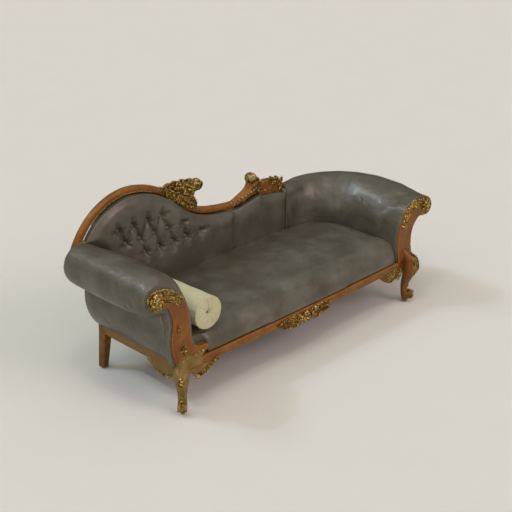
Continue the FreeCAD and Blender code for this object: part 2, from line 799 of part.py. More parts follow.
def wing_marks(station):
    (roll_out, roll_z, radius), (first, last), (panel, foot) = station[3:]
    roll = Vector(roll_out, roll_z, 0)
    start = polar(roll, radius, first)
    end = polar(roll, radius, last)
    middle = polar(roll, radius, (first + last) / 2)
    low = RAIL_TOP + GAP
    return {
        "sill": Vector(0, low, 0),
        "wall": Vector(0, 440, 0),
        "lean": Vector(0.22 * start.x, 440 + 0.62 * (start.y - 440), 0),
        "start": start,
        "middle": middle,
        "end": end,
        "tuck": Vector(panel + 0.25 * (end.x - panel), 450 + 0.62 * (end.y - 450), 0),
        "panel": Vector(panel, 450, 0),
        "swell": Vector(panel - 2, 360, 0),
        "foot": Vector(foot, low, 0),
    }


def wing_wire(station, inset):
    marks = wing_marks(station)
    step = Vector(-inset, 0, 0)
    names = ["sill", "wall", "lean", "start", "middle", "end", "tuck", "panel", "swell", "foot"]
    flat = [marks[name] for name in names]
    for index in (6, 7, 8, 9):
        flat[index] = flat[index] + step
    x, y, turn = station[:3]
    sill, wall, lean, start, middle, end, tuck, panel, swell, foot = stand(flat, x, y, turn)
    curves = trace(sill, wall, (lean, start), (middle, end), (tuck, panel), (swell, foot), sill)
    return faceted(curves, (1, 4, 12, 5, 4, 1))


def wing_panel_wire(station):
    marks = wing_marks(station)
    x, y, turn = station[:3]
    thick = Vector(-size("cover_thick"), 0, 0)
    outer = [marks["panel"], marks["swell"], marks["foot"]]
    inner = [point + thick for point in reversed(outer)]
    a, b, c, d, e, f = stand(outer + inner, x, y, turn)
    return faceted(trace(a, (b, c), d, (e, f), a), (4, 1, 4, 1))


def wing_square(station, half):
    x, y, turn, (out, z, _) = station[:4]
    centre = Vector(out, z, 0)
    offsets = [Vector(-half, -half, 0), Vector(half, -half, 0), Vector(half, half, 0), Vector(-half, half, 0)]
    corners = stand([centre + offset for offset in offsets], x, y, turn)
    return wire(trace(corners[0], corners[1], corners[2], corners[3], corners[0]))


def foot_wing():
    stations = wing_stations()
    half = size("arm_rail") / 2
    pad = Part.makeLoft([wing_wire(station, size("cover_thick") + GAP) for station in stations], True, True)
    pad = pad.cut(Part.makeLoft([wing_square(station, half + GAP) for station in stations], True, True))
    add_shape("foot_wing_pad", pad)
    add_shape("foot_wing_top_rail", Part.makeLoft([wing_square(station, half) for station in stations], True, True))
    add_shape("foot_outer_cover", Part.makeLoft([wing_panel_wire(station) for station in stations], True, True))


# Seat
def seat_side_profile():
    """(y, z) profile: the front is pulled over in one round, the top rises to the back."""
    front = FRONT - size("rail_bow") - 1
    round_radius = size("seat_round")
    centre = Vector(FRONT - 2 + round_radius, size("seat_edge") - round_radius, 0)
    return trace(
        Vector(front, RAIL_TOP + GAP, 0),
        Vector(front, centre.y, 0),
        Vector(FRONT - 2, centre.y, 0),
        (polar(centre, round_radius, 135), polar(centre, round_radius, 90)),
        (Vector(0, SEAT_CROWN - 2, 0), Vector(size("back_face") - GAP, SEAT_CROWN, 0)),
        Vector(size("back_face") - GAP, RAIL_TOP + GAP, 0),
        Vector(front, RAIL_TOP + GAP, 0),
    )


def seat_arch():
    """Three (x, z) points of the seat's top between the arms."""
    left = Vector(-HEAD_INNER + GAP, size("seat_edge"), 0)
    right = Vector(FOOT_INNER - GAP, size("seat_edge"), 0)
    return left, Vector(0, SEAT_CROWN, 0), right


def seat_front_profile():
    left, crown, right = seat_arch()
    low = RAIL_TOP + GAP
    return trace(
        Vector(left.x, low, 0),
        left,
        (crown, right),
        Vector(right.x, low, 0),
        Vector(left.x, low, 0),
    )


def seat_plan():
    left = -HEAD_INNER + GAP
    right = FOOT_INNER - GAP
    rear = size("back_face") - GAP
    corner = size("wing_corner")
    centre = Vector(right - corner, rear - corner, 0)
    bend = [polar(centre, corner, turn) for turn in range(CORNER_STEP, 91, CORNER_STEP)]
    ear = EAR
    behind = FACING_BACK + GAP
    return trace(
        Vector(left, behind, 0),
        Vector(ear, behind, 0),
        Vector(ear, FRONT, 0),
        (Vector(0, FRONT - size("rail_bow"), 0), Vector(right - 6, FRONT, 0)),
        Vector(right - 6, behind, 0),
        Vector(right, behind, 0),
        Vector(right, rear - corner, 0),
        *bend,
        Vector(left, rear, 0),
        Vector(left, behind, 0),
    )


def seat_pad():
    low = RAIL_TOP + GAP
    across = prism_x(seat_side_profile(), -HALF_FRAME, HALF_FRAME)
    along = prism_y(seat_front_profile(), FRONT - 2 * size("rail_bow"), BACK)
    plan = prism(seat_plan(), Vector(0, 0, SEAT_CROWN + 10))
    dome = across.common(along).common(plan)
    well_height = size("rail_bottom") + size("spring_height") + size("sheet_thick") + GAP - low
    well = Part.makeBox(
        2 * SPRING_FIELD_X + 2 * size("spring_radius") + 40,
        2 * SPRING_FIELD_Y + 2 * size("spring_radius") + 40,
        well_height + 1,
        Vector(-SPRING_FIELD_X - size("spring_radius") - 20, -SPRING_FIELD_Y - size("spring_radius") - 20, low - 1),
    )
    add_shape("seat_pad", dome.cut(well))
    cover = Part.makeBox(
        2 * SPRING_FIELD_X + 2 * size("spring_radius") + 30,
        2 * SPRING_FIELD_Y + 2 * size("spring_radius") + 30,
        size("sheet_thick"),
        Vector(
            -SPRING_FIELD_X - size("spring_radius") - 15,
            -SPRING_FIELD_Y - size("spring_radius") - 15,
            size("rail_bottom") + size("spring_height"),
        ),
    )
    add_shape("spring_hessian", cover)


SPRING_COLUMNS = 6
SPRING_ROWS = 2
SPRING_FIELD_X = HALF_FRAME - size("spring_inset")
SPRING_FIELD_Y = 120
SPRING_TURNS = 3.25
SIDES_PER_TURN = 8
FLAT_SIDES = 5
SPRING_WAIST = 0.28


def seat_springs():
    """Waisted coils of straight lengths, with flat ends, that stand on the webbing."""
    radius = size("spring_radius") - size("spring_wire")
    low = size("rail_bottom") + size("spring_wire") / 2
    rise = size("spring_height") - size("spring_wire") * math.sqrt(2)
    count = int(SPRING_TURNS * SIDES_PER_TURN)
    points = []
    for step in range(count + 1):
        angle = 2 * math.pi * step / SIDES_PER_TURN
        climb = min(max((step - FLAT_SIDES) / (count - 2 * FLAT_SIDES), 0), 1)
        ring = radius * (1 - SPRING_WAIST * math.sin(math.pi * climb))
        points.append(Vector(ring * math.cos(angle), ring * math.sin(angle), low + rise * climb))
    path = Part.makePolygon(points)
    start = points[0]
    along = (points[1] - points[0]).normalize()
    side = along.cross(Vector(0, 0, 1)).normalize()
    up = side.cross(along)
    half = size("spring_wire") / 2
    corners = [start + side * a * half + up * b * half for a, b in ((-1, -1), (1, -1), (1, 1), (-1, 1))]
    section = Part.makePolygon(corners + corners[:1])
    coil = path.makePipeShell([section], True, False, 1)
    springs = []
    for column in range(SPRING_COLUMNS):
        for line in range(SPRING_ROWS):
            spring = coil.copy()
            x = -SPRING_FIELD_X + 2 * SPRING_FIELD_X * column / (SPRING_COLUMNS - 1)
            y = -SPRING_FIELD_Y + 2 * SPRING_FIELD_Y * line / (SPRING_ROWS - 1)
            spring.translate(Vector(x, y, 0))
            springs.append(spring)
    add_shape("seat_springs", Part.makeCompound(springs))


UNDER_RAIL = 8
COVER_CORNER = 90


def webbing_and_dust_cover():
    thick = size("sheet_thick")
    width = size("webbing_width")
    low = size("rail_bottom")
    front = FRONT + size("rail_thick") - UNDER_RAIL
    back = BACK - size("rail_thick") + UNDER_RAIL
    reach = HALF_FRAME - size("rail_thick") + UNDER_RAIL
    across = []
    for column in range(SPRING_COLUMNS):
        x = -SPRING_FIELD_X + 2 * SPRING_FIELD_X * column / (SPRING_COLUMNS - 1)
        across.append(Part.makeBox(width, back - front, thick, Vector(x - width / 2, front, low - thick)))
    along = []
    for y in (-2 * SPRING_FIELD_Y, -SPRING_FIELD_Y, 0, SPRING_FIELD_Y):
        along.append(Part.makeBox(2 * reach, width, thick, Vector(-reach, y - width / 2, low - 2 * thick)))
    add_shape("seat_webbing", Part.makeCompound(across + along))
    corner = COVER_CORNER
    outline = trace(
        Vector(-reach + corner, front, low - 3 * thick),
        Vector(reach - corner, front, low - 3 * thick),
        Vector(reach, front + corner, low - 3 * thick),
        Vector(reach, back - corner, low - 3 * thick),
        Vector(reach - corner, back, low - 3 * thick),
        Vector(-reach + corner, back, low - 3 * thick),
        Vector(-reach, back - corner, low - 3 * thick),
        Vector(-reach, front + corner, low - 3 * thick),
        Vector(-reach + corner, front, low - 3 * thick),
    )
    add_shape("dust_cover", prism(outline, Vector(0, 0, thick)))


# Back
PAD_TOP_CLEAR = 0.5


def under_crest(first_x, last_x):
    """A curve just under the crest rail between two places along it."""
    side = crest_side(-size("crest_height") / 2 - PAD_TOP_CLEAR, CREST_RUN[0], CREST_RUN[-1], 60)
    inside = [point for point in side if first_x < point.x < last_x]
    first = Vector(first_x, crest_below(first_x) - PAD_TOP_CLEAR, 0)
    last = Vector(last_x, crest_below(last_x) - PAD_TOP_CLEAR, 0)
    spline = Part.BSplineCurve()
    spline.interpolate([first] + inside[1:-1:4] + [last])
    return spline, first, last


def tufted_back():
    right = size("tuft_seam") - GAP
    left = -HEAD_ROLL_X + 30
    curve, first, last = under_crest(left, right)
    low = RAIL_TOP + GAP
    curves = trace(
        last,
        Vector(right, low, 0),
        Vector(-HEAD_INNER - 40, low, 0),
        Vector(-HEAD_ROLL_X + 60, size("head_roll_z") + 20, 0),
        first,
    )
    front = size("back_face")
    pad = prism_y([curve] + curves, front, PAD_BACK)
    arm = prism_y(head_arm_section(0), front - 1, PAD_BACK + 1)
    pad = pad.cut(arm.makeOffsetShape(GAP, 0.01))
    add_shape("tufted_back_pad", pad)


def plain_back():
    left = size("tuft_seam") + GAP
    block = CREST_RUN[-1][0] - 2
    curve, first, last = under_crest(left, block)
    low = RAIL_TOP + GAP
    right = WING_SEAM - GAP
    top = BLOCK_LOW - 0.5
    curves = trace(last, Vector(right, top, 0), Vector(right, low, 0), Vector(left, low, 0), first)
    pad = prism_y([curve] + curves, size("back_face"), PAD_BACK)
    block = prism_y(end_block_outline(), size("back_face") - 1, PAD_BACK + 1)
    add_shape("plain_back_pad", pad.cut(block.makeOffsetShape(GAP, 0.01)))


def tufting_buttons():
    buttons = []
    pitch = size("tuft_pitch")
    rows = (
        (size("tuft_top"), 17 - HEAD_INNER, 4),
        (size("tuft_top") - size("tuft_rise"), 65 - HEAD_INNER, 5),
        (size("tuft_top") - 2 * size("tuft_rise"), 195 - HEAD_INNER, 5),
    )
    for height, first, count in rows:
        for number in range(count):
            button = doc.addObject("Part::Prism", "button")
            button.Polygon = 10
            bind(button, Circumradius="Size.button_radius", Height="Size.button_height")
            place = Vector(first + pitch * number, size("back_face") - GAP, height)
            button.Placement = Placement(place, Rotation(Vector(1, 0, 0), 90))
            buttons.append(button)
    group("tufting_buttons", buttons)


def back_frame():
    width = size("stile_width")
    front = STILE_FRONT
    depth = CREST_BACK - front
    low = RAIL_TOP
    for label, left in (
        ("head_back_stile", -HALF_FRAME + 2),
        ("middle_back_stile", size("tuft_seam") - width / 2),
    ):
        top = min(crest_below(left), crest_below(left + width)) - GAP
        add_shape(label, Part.makeBox(width, depth, top - low, Vector(left, front, low)))
    left = WING_SEAM - width - 4
    add_shape("foot_back_stile", Part.makeBox(width, depth, BLOCK_LOW - GAP - low, Vector(left, front, low)))
    stile_right = size("tuft_seam") + width / 2
    spans = ((-HALF_FRAME + 2 + width, size("tuft_seam") - width / 2), (stile_right, left))
    rails = [Part.makeBox(b - a, depth, width, Vector(a, front, RAIL_TOP + 60)) for a, b in spans]
    add_shape("back_tack_rails", Part.makeCompound(rails))


def outer_back_cover():
    left = -HALF_FRAME + 2
    right = WING_SEAM - GAP
    low = RAIL_TOP + GAP
    curve, first, last = under_crest(left, CREST_RUN[-1][0] - 2)
    curves = trace(last, Vector(right, BLOCK_LOW - 0.5, 0), Vector(right, low, 0), Vector(left, low, 0), first)
    add_shape("outer_back_cover", prism_y([curve] + curves, CREST_BACK + GAP, CREST_BACK + GAP + size("cover_thick")))


# Crest ornaments
BLOCK_LOW = 640


def end_block_outline():
    low_left = Vector(CREST_RUN[-1][0] + 1, BLOCK_LOW + 34, 0)
    right = WING_SEAM
    middle = (low_left.x + right) / 2
    return trace(
        low_left,
        (Vector(middle, BLOCK_LOW + 22, 0), Vector(right - 8, BLOCK_LOW, 0)),
        (Vector(right - 1, BLOCK_LOW + 34, 0), Vector(right - 10, BLOCK_LOW + 68, 0)),
        (Vector(middle, BLOCK_LOW + 104, 0), low_left + Vector(0, 66, 0)),
        low_left,
    )


def crest_end_block():
    return add_shape("crest_end_block", prism_y(end_block_outline(), size("crest_front") - 2, CREST_BACK))


def lobes(start, tips, end):
    """A leaf edge: arcs that swell between the tips."""
    steps = []
    here = start
    for tip in tips + [end]:
        chord = tip - here
        swell = Vector(-chord.y, chord.x, 0) * 0.28
        steps.append((here + chord * 0.5 + swell, tip))
        here = tip
    return steps


def on_crest(x, z):
    """A point drawn beside the crest, carried along as the frame stretches."""
    return Vector(x * STRETCH, z, 0)


def crest_leaf_ornament(crest):
    start = on_crest(-470, 915)
    end = on_crest(-135, 700)
    tips = [
        on_crest(-432, 950),
        on_crest(-385, 956),
        on_crest(-330, 950),
        on_crest(-275, 944),
        on_crest(-225, 930),
        on_crest(-165, 912),
    ]
    curves = trace(
        start,
        *lobes(start, tips[:-1], tips[-1]),
        (on_crest(-138, 878), on_crest(-168, 848)),
        on_crest(-196, 846),
        (on_crest(-210, 800), on_crest(-185, 752)),
        end,
        (on_crest(-260, 790), on_crest(-405, 884)),
        start,
    )
    leaf = prism_y(curves, size("crest_front") + 2, CREST_BACK - 4)
    middle = (size("crest_front") + CREST_BACK) / 2
    volute = on_crest(-166, 880)
    ball = turned_ball(27, Vector(volute.x, middle, volute.y))
    add_shape("crest_leaf_ornament", leaf.fuse(ball).cut(crest))


def crest_ball_ornament(crest, block):
    middle = (size("crest_front") + CREST_BACK) / 2
    eye = on_crest(248, 792)
    foot = on_crest(266, 690)
    ball = turned_ball(31, Vector(eye.x, middle, eye.y))
    stem = Part.makeCone(15, 11, 100, Vector(foot.x, middle, foot.y), Vector(-0.18, 0, 1))
    root = on_crest(262, 700)
    behind_ball = on_crest(252, 775)
    curves = trace(
        root,
        behind_ball,
        *lobes(behind_ball, [on_crest(287, 790)], on_crest(312, 760)),
        (on_crest(322, 735), on_crest(299, 700)),
        root,
    )
    leaf = prism_y(curves, size("crest_front") + 2, CREST_BACK - 4)
    add_shape("crest_ball_ornament", ball.fuse(stem).fuse(leaf).cut(crest).cut(block))


def crest_end_cap(block):
    """Leaves over the end block, measured from the wing's seam and the block's underside."""
    corner = Vector(WING_SEAM, BLOCK_LOW, 0)
    start = corner + Vector(-133, 96, 0)
    tips = [
        corner + Vector(-120, 126, 0),
        corner + Vector(-80, 132, 0),
        corner + Vector(-39, 120, 0),
        corner + Vector(-3, 96, 0),
    ]
    curves = trace(
        start,
        *lobes(start, tips[:-1], tips[-1]),
        (corner + Vector(17, 64, 0), corner + Vector(1, 36, 0)),
        corner + Vector(-15, 36, 0),
        corner + Vector(-133, 60, 0),
        start,
    )
    cap = prism_y(curves, size("crest_front") + 2, CREST_BACK - 4)
    add_shape("crest_end_cap", cap.cut(block))


def front_rail_ornament(rail):
    low = size("rail_bottom")
    front = FRONT - size("rail_bow")
    centre = Vector(20, low + 12, 0)
    half = 222
    curves = trace(
        centre + Vector(-half, 8, 0),
        (centre + Vector(-150, 22, 0), centre + Vector(-70, 14, 0)),
        (centre + Vector(0, 36, 0), centre + Vector(70, 14, 0)),
        (centre + Vector(150, 22, 0), centre + Vector(half, 8, 0)),
        (centre + Vector(150, -16, 0), centre + Vector(62, -18, 0)),
        (centre + Vector(0, -42, 0), centre + Vector(-62, -18, 0)),
        (centre + Vector(-150, -16, 0), centre + Vector(-half, 8, 0)),
    )
    plate = prism_y(curves, front - 12, front + 14)
    add_largest("front_rail_ornament", plate.cut(rail))


# Bolster: a cloth case round a stuffed core, with a button at each end.
def bolster():
    radius = size("bolster_radius")
    length = size("bolster_length")
    wall = size("sheet_thick")
    room = wall + GAP
    along = Vector(0, 1, 0)
    front = Vector(-BOLSTER_X, -size("bolster_front"), bolster_height())
    case = Part.makeCylinder(radius, length, front, along)
    rims = [edge for edge in case.Edges if isinstance(edge.Curve, Part.Circle)]
    case = case.makeChamfer(size("bolster_round"), rims)
    inner_radius = radius - size("bolster_round") - wall
    core = Part.makeCylinder(radius - room, length - 4 * room - 2 * size("bolster_round"), front, along)
    core.translate(along * (2 * room + size("bolster_round")))
    neck = Part.makeCylinder(inner_radius, length - 2 * room, front + along * room, along)
    hollow = Part.makeCylinder(radius - wall, length - 4 * wall - 2 * size("bolster_round"), front, along)
    hollow.translate(along * (2 * wall + size("bolster_round")))
    hollow_neck = Part.makeCylinder(inner_radius + GAP, length - 2 * wall, front + along * wall, along)
    add_shape("bolster_case", case.cut(hollow.fuse(hollow_neck)))
    add_shape("bolster_core", core.fuse(neck))
    thick = size("button_height")
    near = Part.makeCylinder(size("button_radius"), thick, front - along * thick, along)
    far = Part.makeCylinder(size("button_radius"), thick, front + along * length, along)
    add_shape("bolster_buttons", Part.makeCompound([near, far]))


def bolster_height():
    """Axis height that leaves the gap between the bolster and the seat's arched top."""
    arch = Part.Arc(*seat_arch()).toShape().Curve
    reach = arch.Radius + size("bolster_radius") + GAP
    aside = -BOLSTER_X - arch.Center.x
    return arch.Center.y + math.sqrt(reach * reach - aside * aside)


def check_and_export():
    """Writes every node once all of them are sound."""
    for item in doc.Objects:
        if "Invalid" in item.State or "Error" in item.State:
            raise RuntimeError("%s does not recompute" % item.Name)
    os.makedirs("parts", exist_ok=True)
    for node in nodes:
        if node.Shape.isNull() or not node.Shape.isValid():
            raise RuntimeError("%s is not a valid shape" % node.Label)
    for node in nodes:
        node.Shape.exportStep("parts/%s.step" % node.Label)
        print("%-24s %10.0f mm3 in %d solids" % (node.Label, node.Shape.Volume, len(node.Shape.Solids)))


# Show-wood frame
front_rail = front_seat_rail()
straight_rails()
seat_stretchers()
corner_blocks_and_screws()
left_facing = head_facing()
right_facing = foot_facing()
doc.recompute()
left_leg, right_leg = front_legs(left_facing, right_facing)
rear_leg("rear_left_leg", -1)
rear_leg("rear_right_leg", 1)
foot_glides()
crest = crest_rail()
doc.recompute()
brackets(left_leg.Shape, right_leg.Shape)

# Upholstery and what is inside it
head_arm()
foot_wing()
seat_pad()
seat_springs()
webbing_and_dust_cover()
tufted_back()
plain_back()
tufting_buttons()
back_frame()
outer_back_cover()
bolster()

# Carved ornament
end_block = crest_end_block()
crest_leaf_ornament(crest.Shape)
crest_ball_ornament(crest.Shape, end_block.Shape)
crest_end_cap(end_block.Shape)
front_rail_ornament(front_rail.Shape)

doc.recompute()
check_and_export()
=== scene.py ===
"""Looks of a carved, part-gilded sofa in worn leather, built over its construction frame."""

from __future__ import annotations

import json
import logging
import math
from dataclasses import dataclass, field
from enum import Enum
from typing import Callable, Sequence

import bmesh
import bpy
import numpy as np
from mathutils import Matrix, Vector, kdtree
from mathutils.bvhtree import BVHTree

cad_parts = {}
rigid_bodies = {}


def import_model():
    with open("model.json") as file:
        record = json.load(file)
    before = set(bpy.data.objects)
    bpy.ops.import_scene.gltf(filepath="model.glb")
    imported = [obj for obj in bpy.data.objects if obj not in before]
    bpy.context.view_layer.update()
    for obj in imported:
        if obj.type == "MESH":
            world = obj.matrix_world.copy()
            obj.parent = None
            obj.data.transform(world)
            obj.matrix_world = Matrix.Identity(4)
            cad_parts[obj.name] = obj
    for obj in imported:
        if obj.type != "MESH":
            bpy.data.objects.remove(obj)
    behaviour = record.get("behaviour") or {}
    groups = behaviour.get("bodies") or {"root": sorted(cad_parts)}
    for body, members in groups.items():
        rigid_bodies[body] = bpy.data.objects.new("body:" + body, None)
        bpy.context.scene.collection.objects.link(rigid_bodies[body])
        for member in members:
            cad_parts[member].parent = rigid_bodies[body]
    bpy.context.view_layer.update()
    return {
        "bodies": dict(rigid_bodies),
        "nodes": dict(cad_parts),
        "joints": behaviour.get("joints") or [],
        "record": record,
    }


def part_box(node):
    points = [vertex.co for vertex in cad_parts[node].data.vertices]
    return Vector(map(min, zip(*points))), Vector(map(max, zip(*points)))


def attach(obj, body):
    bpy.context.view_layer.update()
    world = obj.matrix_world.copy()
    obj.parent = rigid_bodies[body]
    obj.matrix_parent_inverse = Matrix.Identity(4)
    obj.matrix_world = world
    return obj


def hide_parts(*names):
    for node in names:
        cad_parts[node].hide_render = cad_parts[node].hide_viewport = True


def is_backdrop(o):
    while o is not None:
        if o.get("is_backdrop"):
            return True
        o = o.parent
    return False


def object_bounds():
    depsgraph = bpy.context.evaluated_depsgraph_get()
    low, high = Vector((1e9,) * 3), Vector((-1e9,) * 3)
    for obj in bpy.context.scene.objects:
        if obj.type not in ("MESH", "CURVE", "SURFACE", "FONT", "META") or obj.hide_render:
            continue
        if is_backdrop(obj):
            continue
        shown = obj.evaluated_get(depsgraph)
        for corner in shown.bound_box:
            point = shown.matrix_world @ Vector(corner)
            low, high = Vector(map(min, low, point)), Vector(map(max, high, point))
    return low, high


LOG = logging.getLogger("sofa")
Point2 = tuple[float, float]
Field3 = Callable[[np.ndarray], np.ndarray]
Socket = bpy.types.NodeSocket
Node = bpy.types.Node
Piece = bpy.types.Object
Material = bpy.types.Material

DOUBLE = 0.00002
"""Distance in metres under which two vertices are one."""
ON_FACE = 0.0005
"""How far behind a panel's front a vertex may lie and still be on it, in metres."""
FLAT_END = 0.0003
"""How far from a solid's flat end a vertex may lie and still be on it, in metres."""
TINY = 1e-6
"""Guard against a division by nothing, in metres."""
PANEL_SHADE = 70.0
"""Angle in degrees over which padded panels are shaded smoothly."""


class Body(Enum):
    """Bodies that pieces ride on."""

    SOFA = "sofa"
    BOLSTER = "bolster"


class Slot(Enum):
    """Material slots of the record."""

    SHOW_WOOD = "show_wood"
    GILT = "gilt"
    INNER_WOOD = "inner_wood"
    LEATHER = "leather"
    STEEL = "steel"
    HESSIAN = "hessian"
    DUST_CLOTH = "dust_cloth"
    BOLSTER_CLOTH = "bolster_cloth"
    BOLSTER_FILLING = "bolster_filling"


# Small mesh helpers


def deselect_all() -> None:
    """Leave nothing selected and be in object mode."""
    if bpy.context.object is not None and bpy.context.object.mode != "OBJECT":
        bpy.ops.object.mode_set(mode="OBJECT")
    bpy.ops.object.select_all(action="DESELECT")


def activate(piece: Piece) -> None:
    """Make one object the only selected and the active one.

    Args:
        piece: The object.
    """
    deselect_all()
    piece.select_set(True)
    bpy.context.view_layer.objects.active = piece


def apply_modifier(piece: Piece, name: str) -> None:
    """Apply one modifier of an object.

    Args:
        piece: The object.
        name: The modifier's name.
    """
    activate(piece)
    bpy.ops.object.modifier_apply(modifier=name)


def points_of(piece: Piece, key: str = "co") -> np.ndarray:
    """Read an object's vertices, or their normals.

    Args:
        piece: The object.
        key: Which of the vertices' vectors to read.

    Returns:
        An array of N rows of x, y, z, places in metres.
    """
    flat = np.empty(len(piece.data.vertices) * 3)
    piece.data.vertices.foreach_get(key, flat)
    return flat.reshape(-1, 3)


def move_points(piece: Piece, points: np.ndarray) -> None:
    """Write an object's vertices.

    Args:
        piece: The object.
        points: N rows of x, y, z in metres.
    """
    piece.data.vertices.foreach_set("co", points.astype(np.float32).ravel())
    piece.data.update()


def copy_node(frame: dict, node: str, name: str) -> Piece:
    """Copy a solid of the frame into a new object with a mesh of its own.

    Args:
        node: The solid's name.
        name: The new object's name.

    Returns:
        The new object, with doubled vertices merged.
    """
    mesh = frame["nodes"][node].data.copy()
    mesh.name = name
    mesh.materials.clear()
    piece = place_in_scene(bpy.data.objects.new(name, mesh))
    face_outwards(piece, merged=True)
    return piece


def place_in_scene(item: Piece) -> Piece:
    """Put a new object, lamp or camera in the scene.

    Args:
        item: The object.

    Returns:
        The same object.
    """
    bpy.context.scene.collection.objects.link(item)
    return item


def twin(piece: Piece) -> Piece:
    """Copy an object with a mesh of its own.

    Args:
        piece: The object.

    Returns:
        The copy.
    """
    other = piece.copy()
    other.data = piece.data.copy()
    return place_in_scene(other)


def face_outwards(piece: Piece, merged: bool = False) -> None:
    """Turn every face of an object outwards.

    Args:
        piece: The object.
        merged: Whether its doubled vertices are merged first.
    """
    activate(piece)
    bpy.ops.object.mode_set(mode="EDIT")
    bpy.ops.mesh.select_all(action="SELECT")
    if merged:
        bpy.ops.mesh.remove_doubles(threshold=DOUBLE)
    bpy.ops.mesh.normals_make_consistent(inside=False)
    bpy.ops.object.mode_set(mode="OBJECT")


def relax(piece: Piece, rounds: int, factor: float = 0.5) -> None:
    """Smooth an object's surface.

    Args:
        piece: The object.
        rounds: Rounds of smoothing.
        factor: Share of the way that a vertex moves in one round.
    """
    smoother = piece.modifiers.new("Relax", "SMOOTH")
    smoother.factor = factor
    smoother.iterations = rounds
    apply_modifier(piece, "Relax")


def remesh(piece: Piece, voxel: float, smooth: int) -> None:
    """Cover an object with an even mesh and smooth it.

    Args:
        piece: The object.
        voxel: Size of the mesh's squares in metres.
        smooth: Rounds of smoothing.
    """
    cover = piece.modifiers.new("Cover", "REMESH")
    cover.mode = "VOXEL"
    cover.voxel_size = voxel
    apply_modifier(piece, "Cover")
    relax(piece, smooth)


def subdivide(piece: Piece) -> None:
    """Round an object by one level of subdivision.

    Args:
        piece: The object.
    """
    rounder = piece.modifiers.new("Rounder", "SUBSURF")
    rounder.levels = rounder.render_levels = 1
    apply_modifier(piece, "Rounder")


def gridded(frame: dict, node: str, name: str, step: float) -> Piece:
    """Copy a solid and cut its faces into a regular grid, keeping its outline.

    Args:
        node: The solid's name.
        name: The new object's name.
        step: Distance between cuts in metres.

    Returns:
        The new object.
    """
    piece = copy_node(frame, node, name)
    mesh = bmesh.new()
    mesh.from_mesh(piece.data)
    bmesh.ops.dissolve_limit(mesh, angle_limit=math.radians(1), verts=mesh.verts[:], edges=mesh.edges[:])
    corners = points_of(piece)
    low, high = corners.min(0), corners.max(0)
    for axis in range(3):
        normal = Vector([1.0 if k == axis else 0.0 for k in range(3)])
        for place in np.arange(low[axis] + step / 2, high[axis], step):
            cut = mesh.verts[:] + mesh.edges[:] + mesh.faces[:]
            bmesh.ops.bisect_plane(mesh, geom=cut, dist=TINY, plane_co=normal * place, plane_no=normal)
    sliver = step * 0.12
    bmesh.ops.remove_doubles(mesh, verts=mesh.verts[:], dist=sliver)
    mesh.to_mesh(piece.data)
    mesh.free()
    return piece


def rim_distance(piece: Piece, on_face: np.ndarray) -> np.ndarray:
    """Measure how far each vertex of a panel lies from the panel's edge.

    Args:
        piece: The object.
        on_face: True for each vertex that lies on the panel.

    Returns:
        Distances in metres, zero for vertices off the panel.
    """
    points = points_of(piece)
    rim = {v for e in piece.data.edges for v in e.vertices if not all(on_face[list(e.vertices)])}
    rim = [v for v in rim if on_face[v]]
    tree = kdtree.KDTree(max(len(rim), 1))
    for number, vertex in enumerate(rim):
        tree.insert(points[vertex], number)
    tree.balance()
    away = np.zeros(len(points))
    for vertex in np.flatnonzero(on_face):
        found = tree.find(points[vertex])
        away[vertex] = found[2] if found[2] is not None else 1.0
    return away


def shade(piece: Piece, degrees: float = 35.0) -> None:
    """Shade smoothly over edges flatter than an angle.

    Args:
        piece: The object.
        degrees: The angle.
    """
    activate(piece)
    bpy.ops.object.shade_smooth_by_angle(angle=math.radians(degrees))


def repaint(piece: Piece, materials: Sequence[Material], choose: Field3) -> None:
    """Give parts of an object different finishes.

    Args:
        piece: The object.
        materials: The finishes.
        choose: Takes the faces' middles and returns the number of the finish for each.
    """
    piece.data.materials.clear()
    for material in materials:
        piece.data.materials.append(material)
    middles = np.array([face.center[:] for face in piece.data.polygons])
    piece.data.polygons.foreach_set("material_index", choose(middles).astype(np.int32))
    piece.data.update()


def join(pieces: Sequence[Piece], name: str) -> Piece:
    """Join objects into one.

    Args:
        pieces: The objects.
        name: Name of the joined object.

    Returns:
        The joined object.
    """
    deselect_all()
    for piece in pieces:
        piece.select_set(True)
    bpy.context.view_layer.objects.active = pieces[0]
    if len(pieces) > 1:
        bpy.ops.object.join()
    pieces[0].name = name
    pieces[0].data.name = name
    return pieces[0]


def finish_piece(
    piece: Piece,
    material: Material,
    body: Body = Body.SOFA,
    replaces: Sequence[str] = (),
) -> Piece:
    """Give a piece its finish and tie it to the frame.

    Args:
        piece: The object, in place.
        material: Its finish.
        body: The body it rides on.
        replaces: Solids it stands for.

    Returns:
        The same object.
    """
    piece.name = piece.name.replace(" ", "_").lower()
    if not piece.data.materials:
        piece.data.materials.append(material)
    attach(piece, body.value)
    if replaces:
        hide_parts(*replaces)
    return piece


def tube(
    name: str, line: Sequence[Vector], radius: float, taper: Sequence[float] = (), closed: bool = False, sides: int = 2
) -> Piece:
    """Make a round cord, stem or scroll that follows a line.

    Args:
        name: The object's name.
        line: Points in metres.
        radius: Radius of the cord.
        taper: Share of the radius at each point, or nothing for an even cord.
        closed: Whether its ends meet.
        sides: Roundness of its section.

    Returns:
        A mesh object.
    """
    curve = bpy.data.curves.new(name, "CURVE")
    curve.dimensions = "3D"
    curve.bevel_depth = radius
    curve.bevel_resolution = sides
    curve.use_fill_caps = True
    spline = curve.splines.new("POLY")
    spline.points.add(len(line) - 1)
    for number, point in enumerate(line):
        spline.points[number].co = (*point, 1.0)
        spline.points[number].radius = taper[number] if taper else 1.0
    spline.use_cyclic_u = closed
    activate(place_in_scene(bpy.data.objects.new(name, curve)))
    bpy.ops.object.convert(target="MESH")
    piece = bpy.context.object
    for face in piece.data.polygons:
        face.use_smooth = True
    return piece


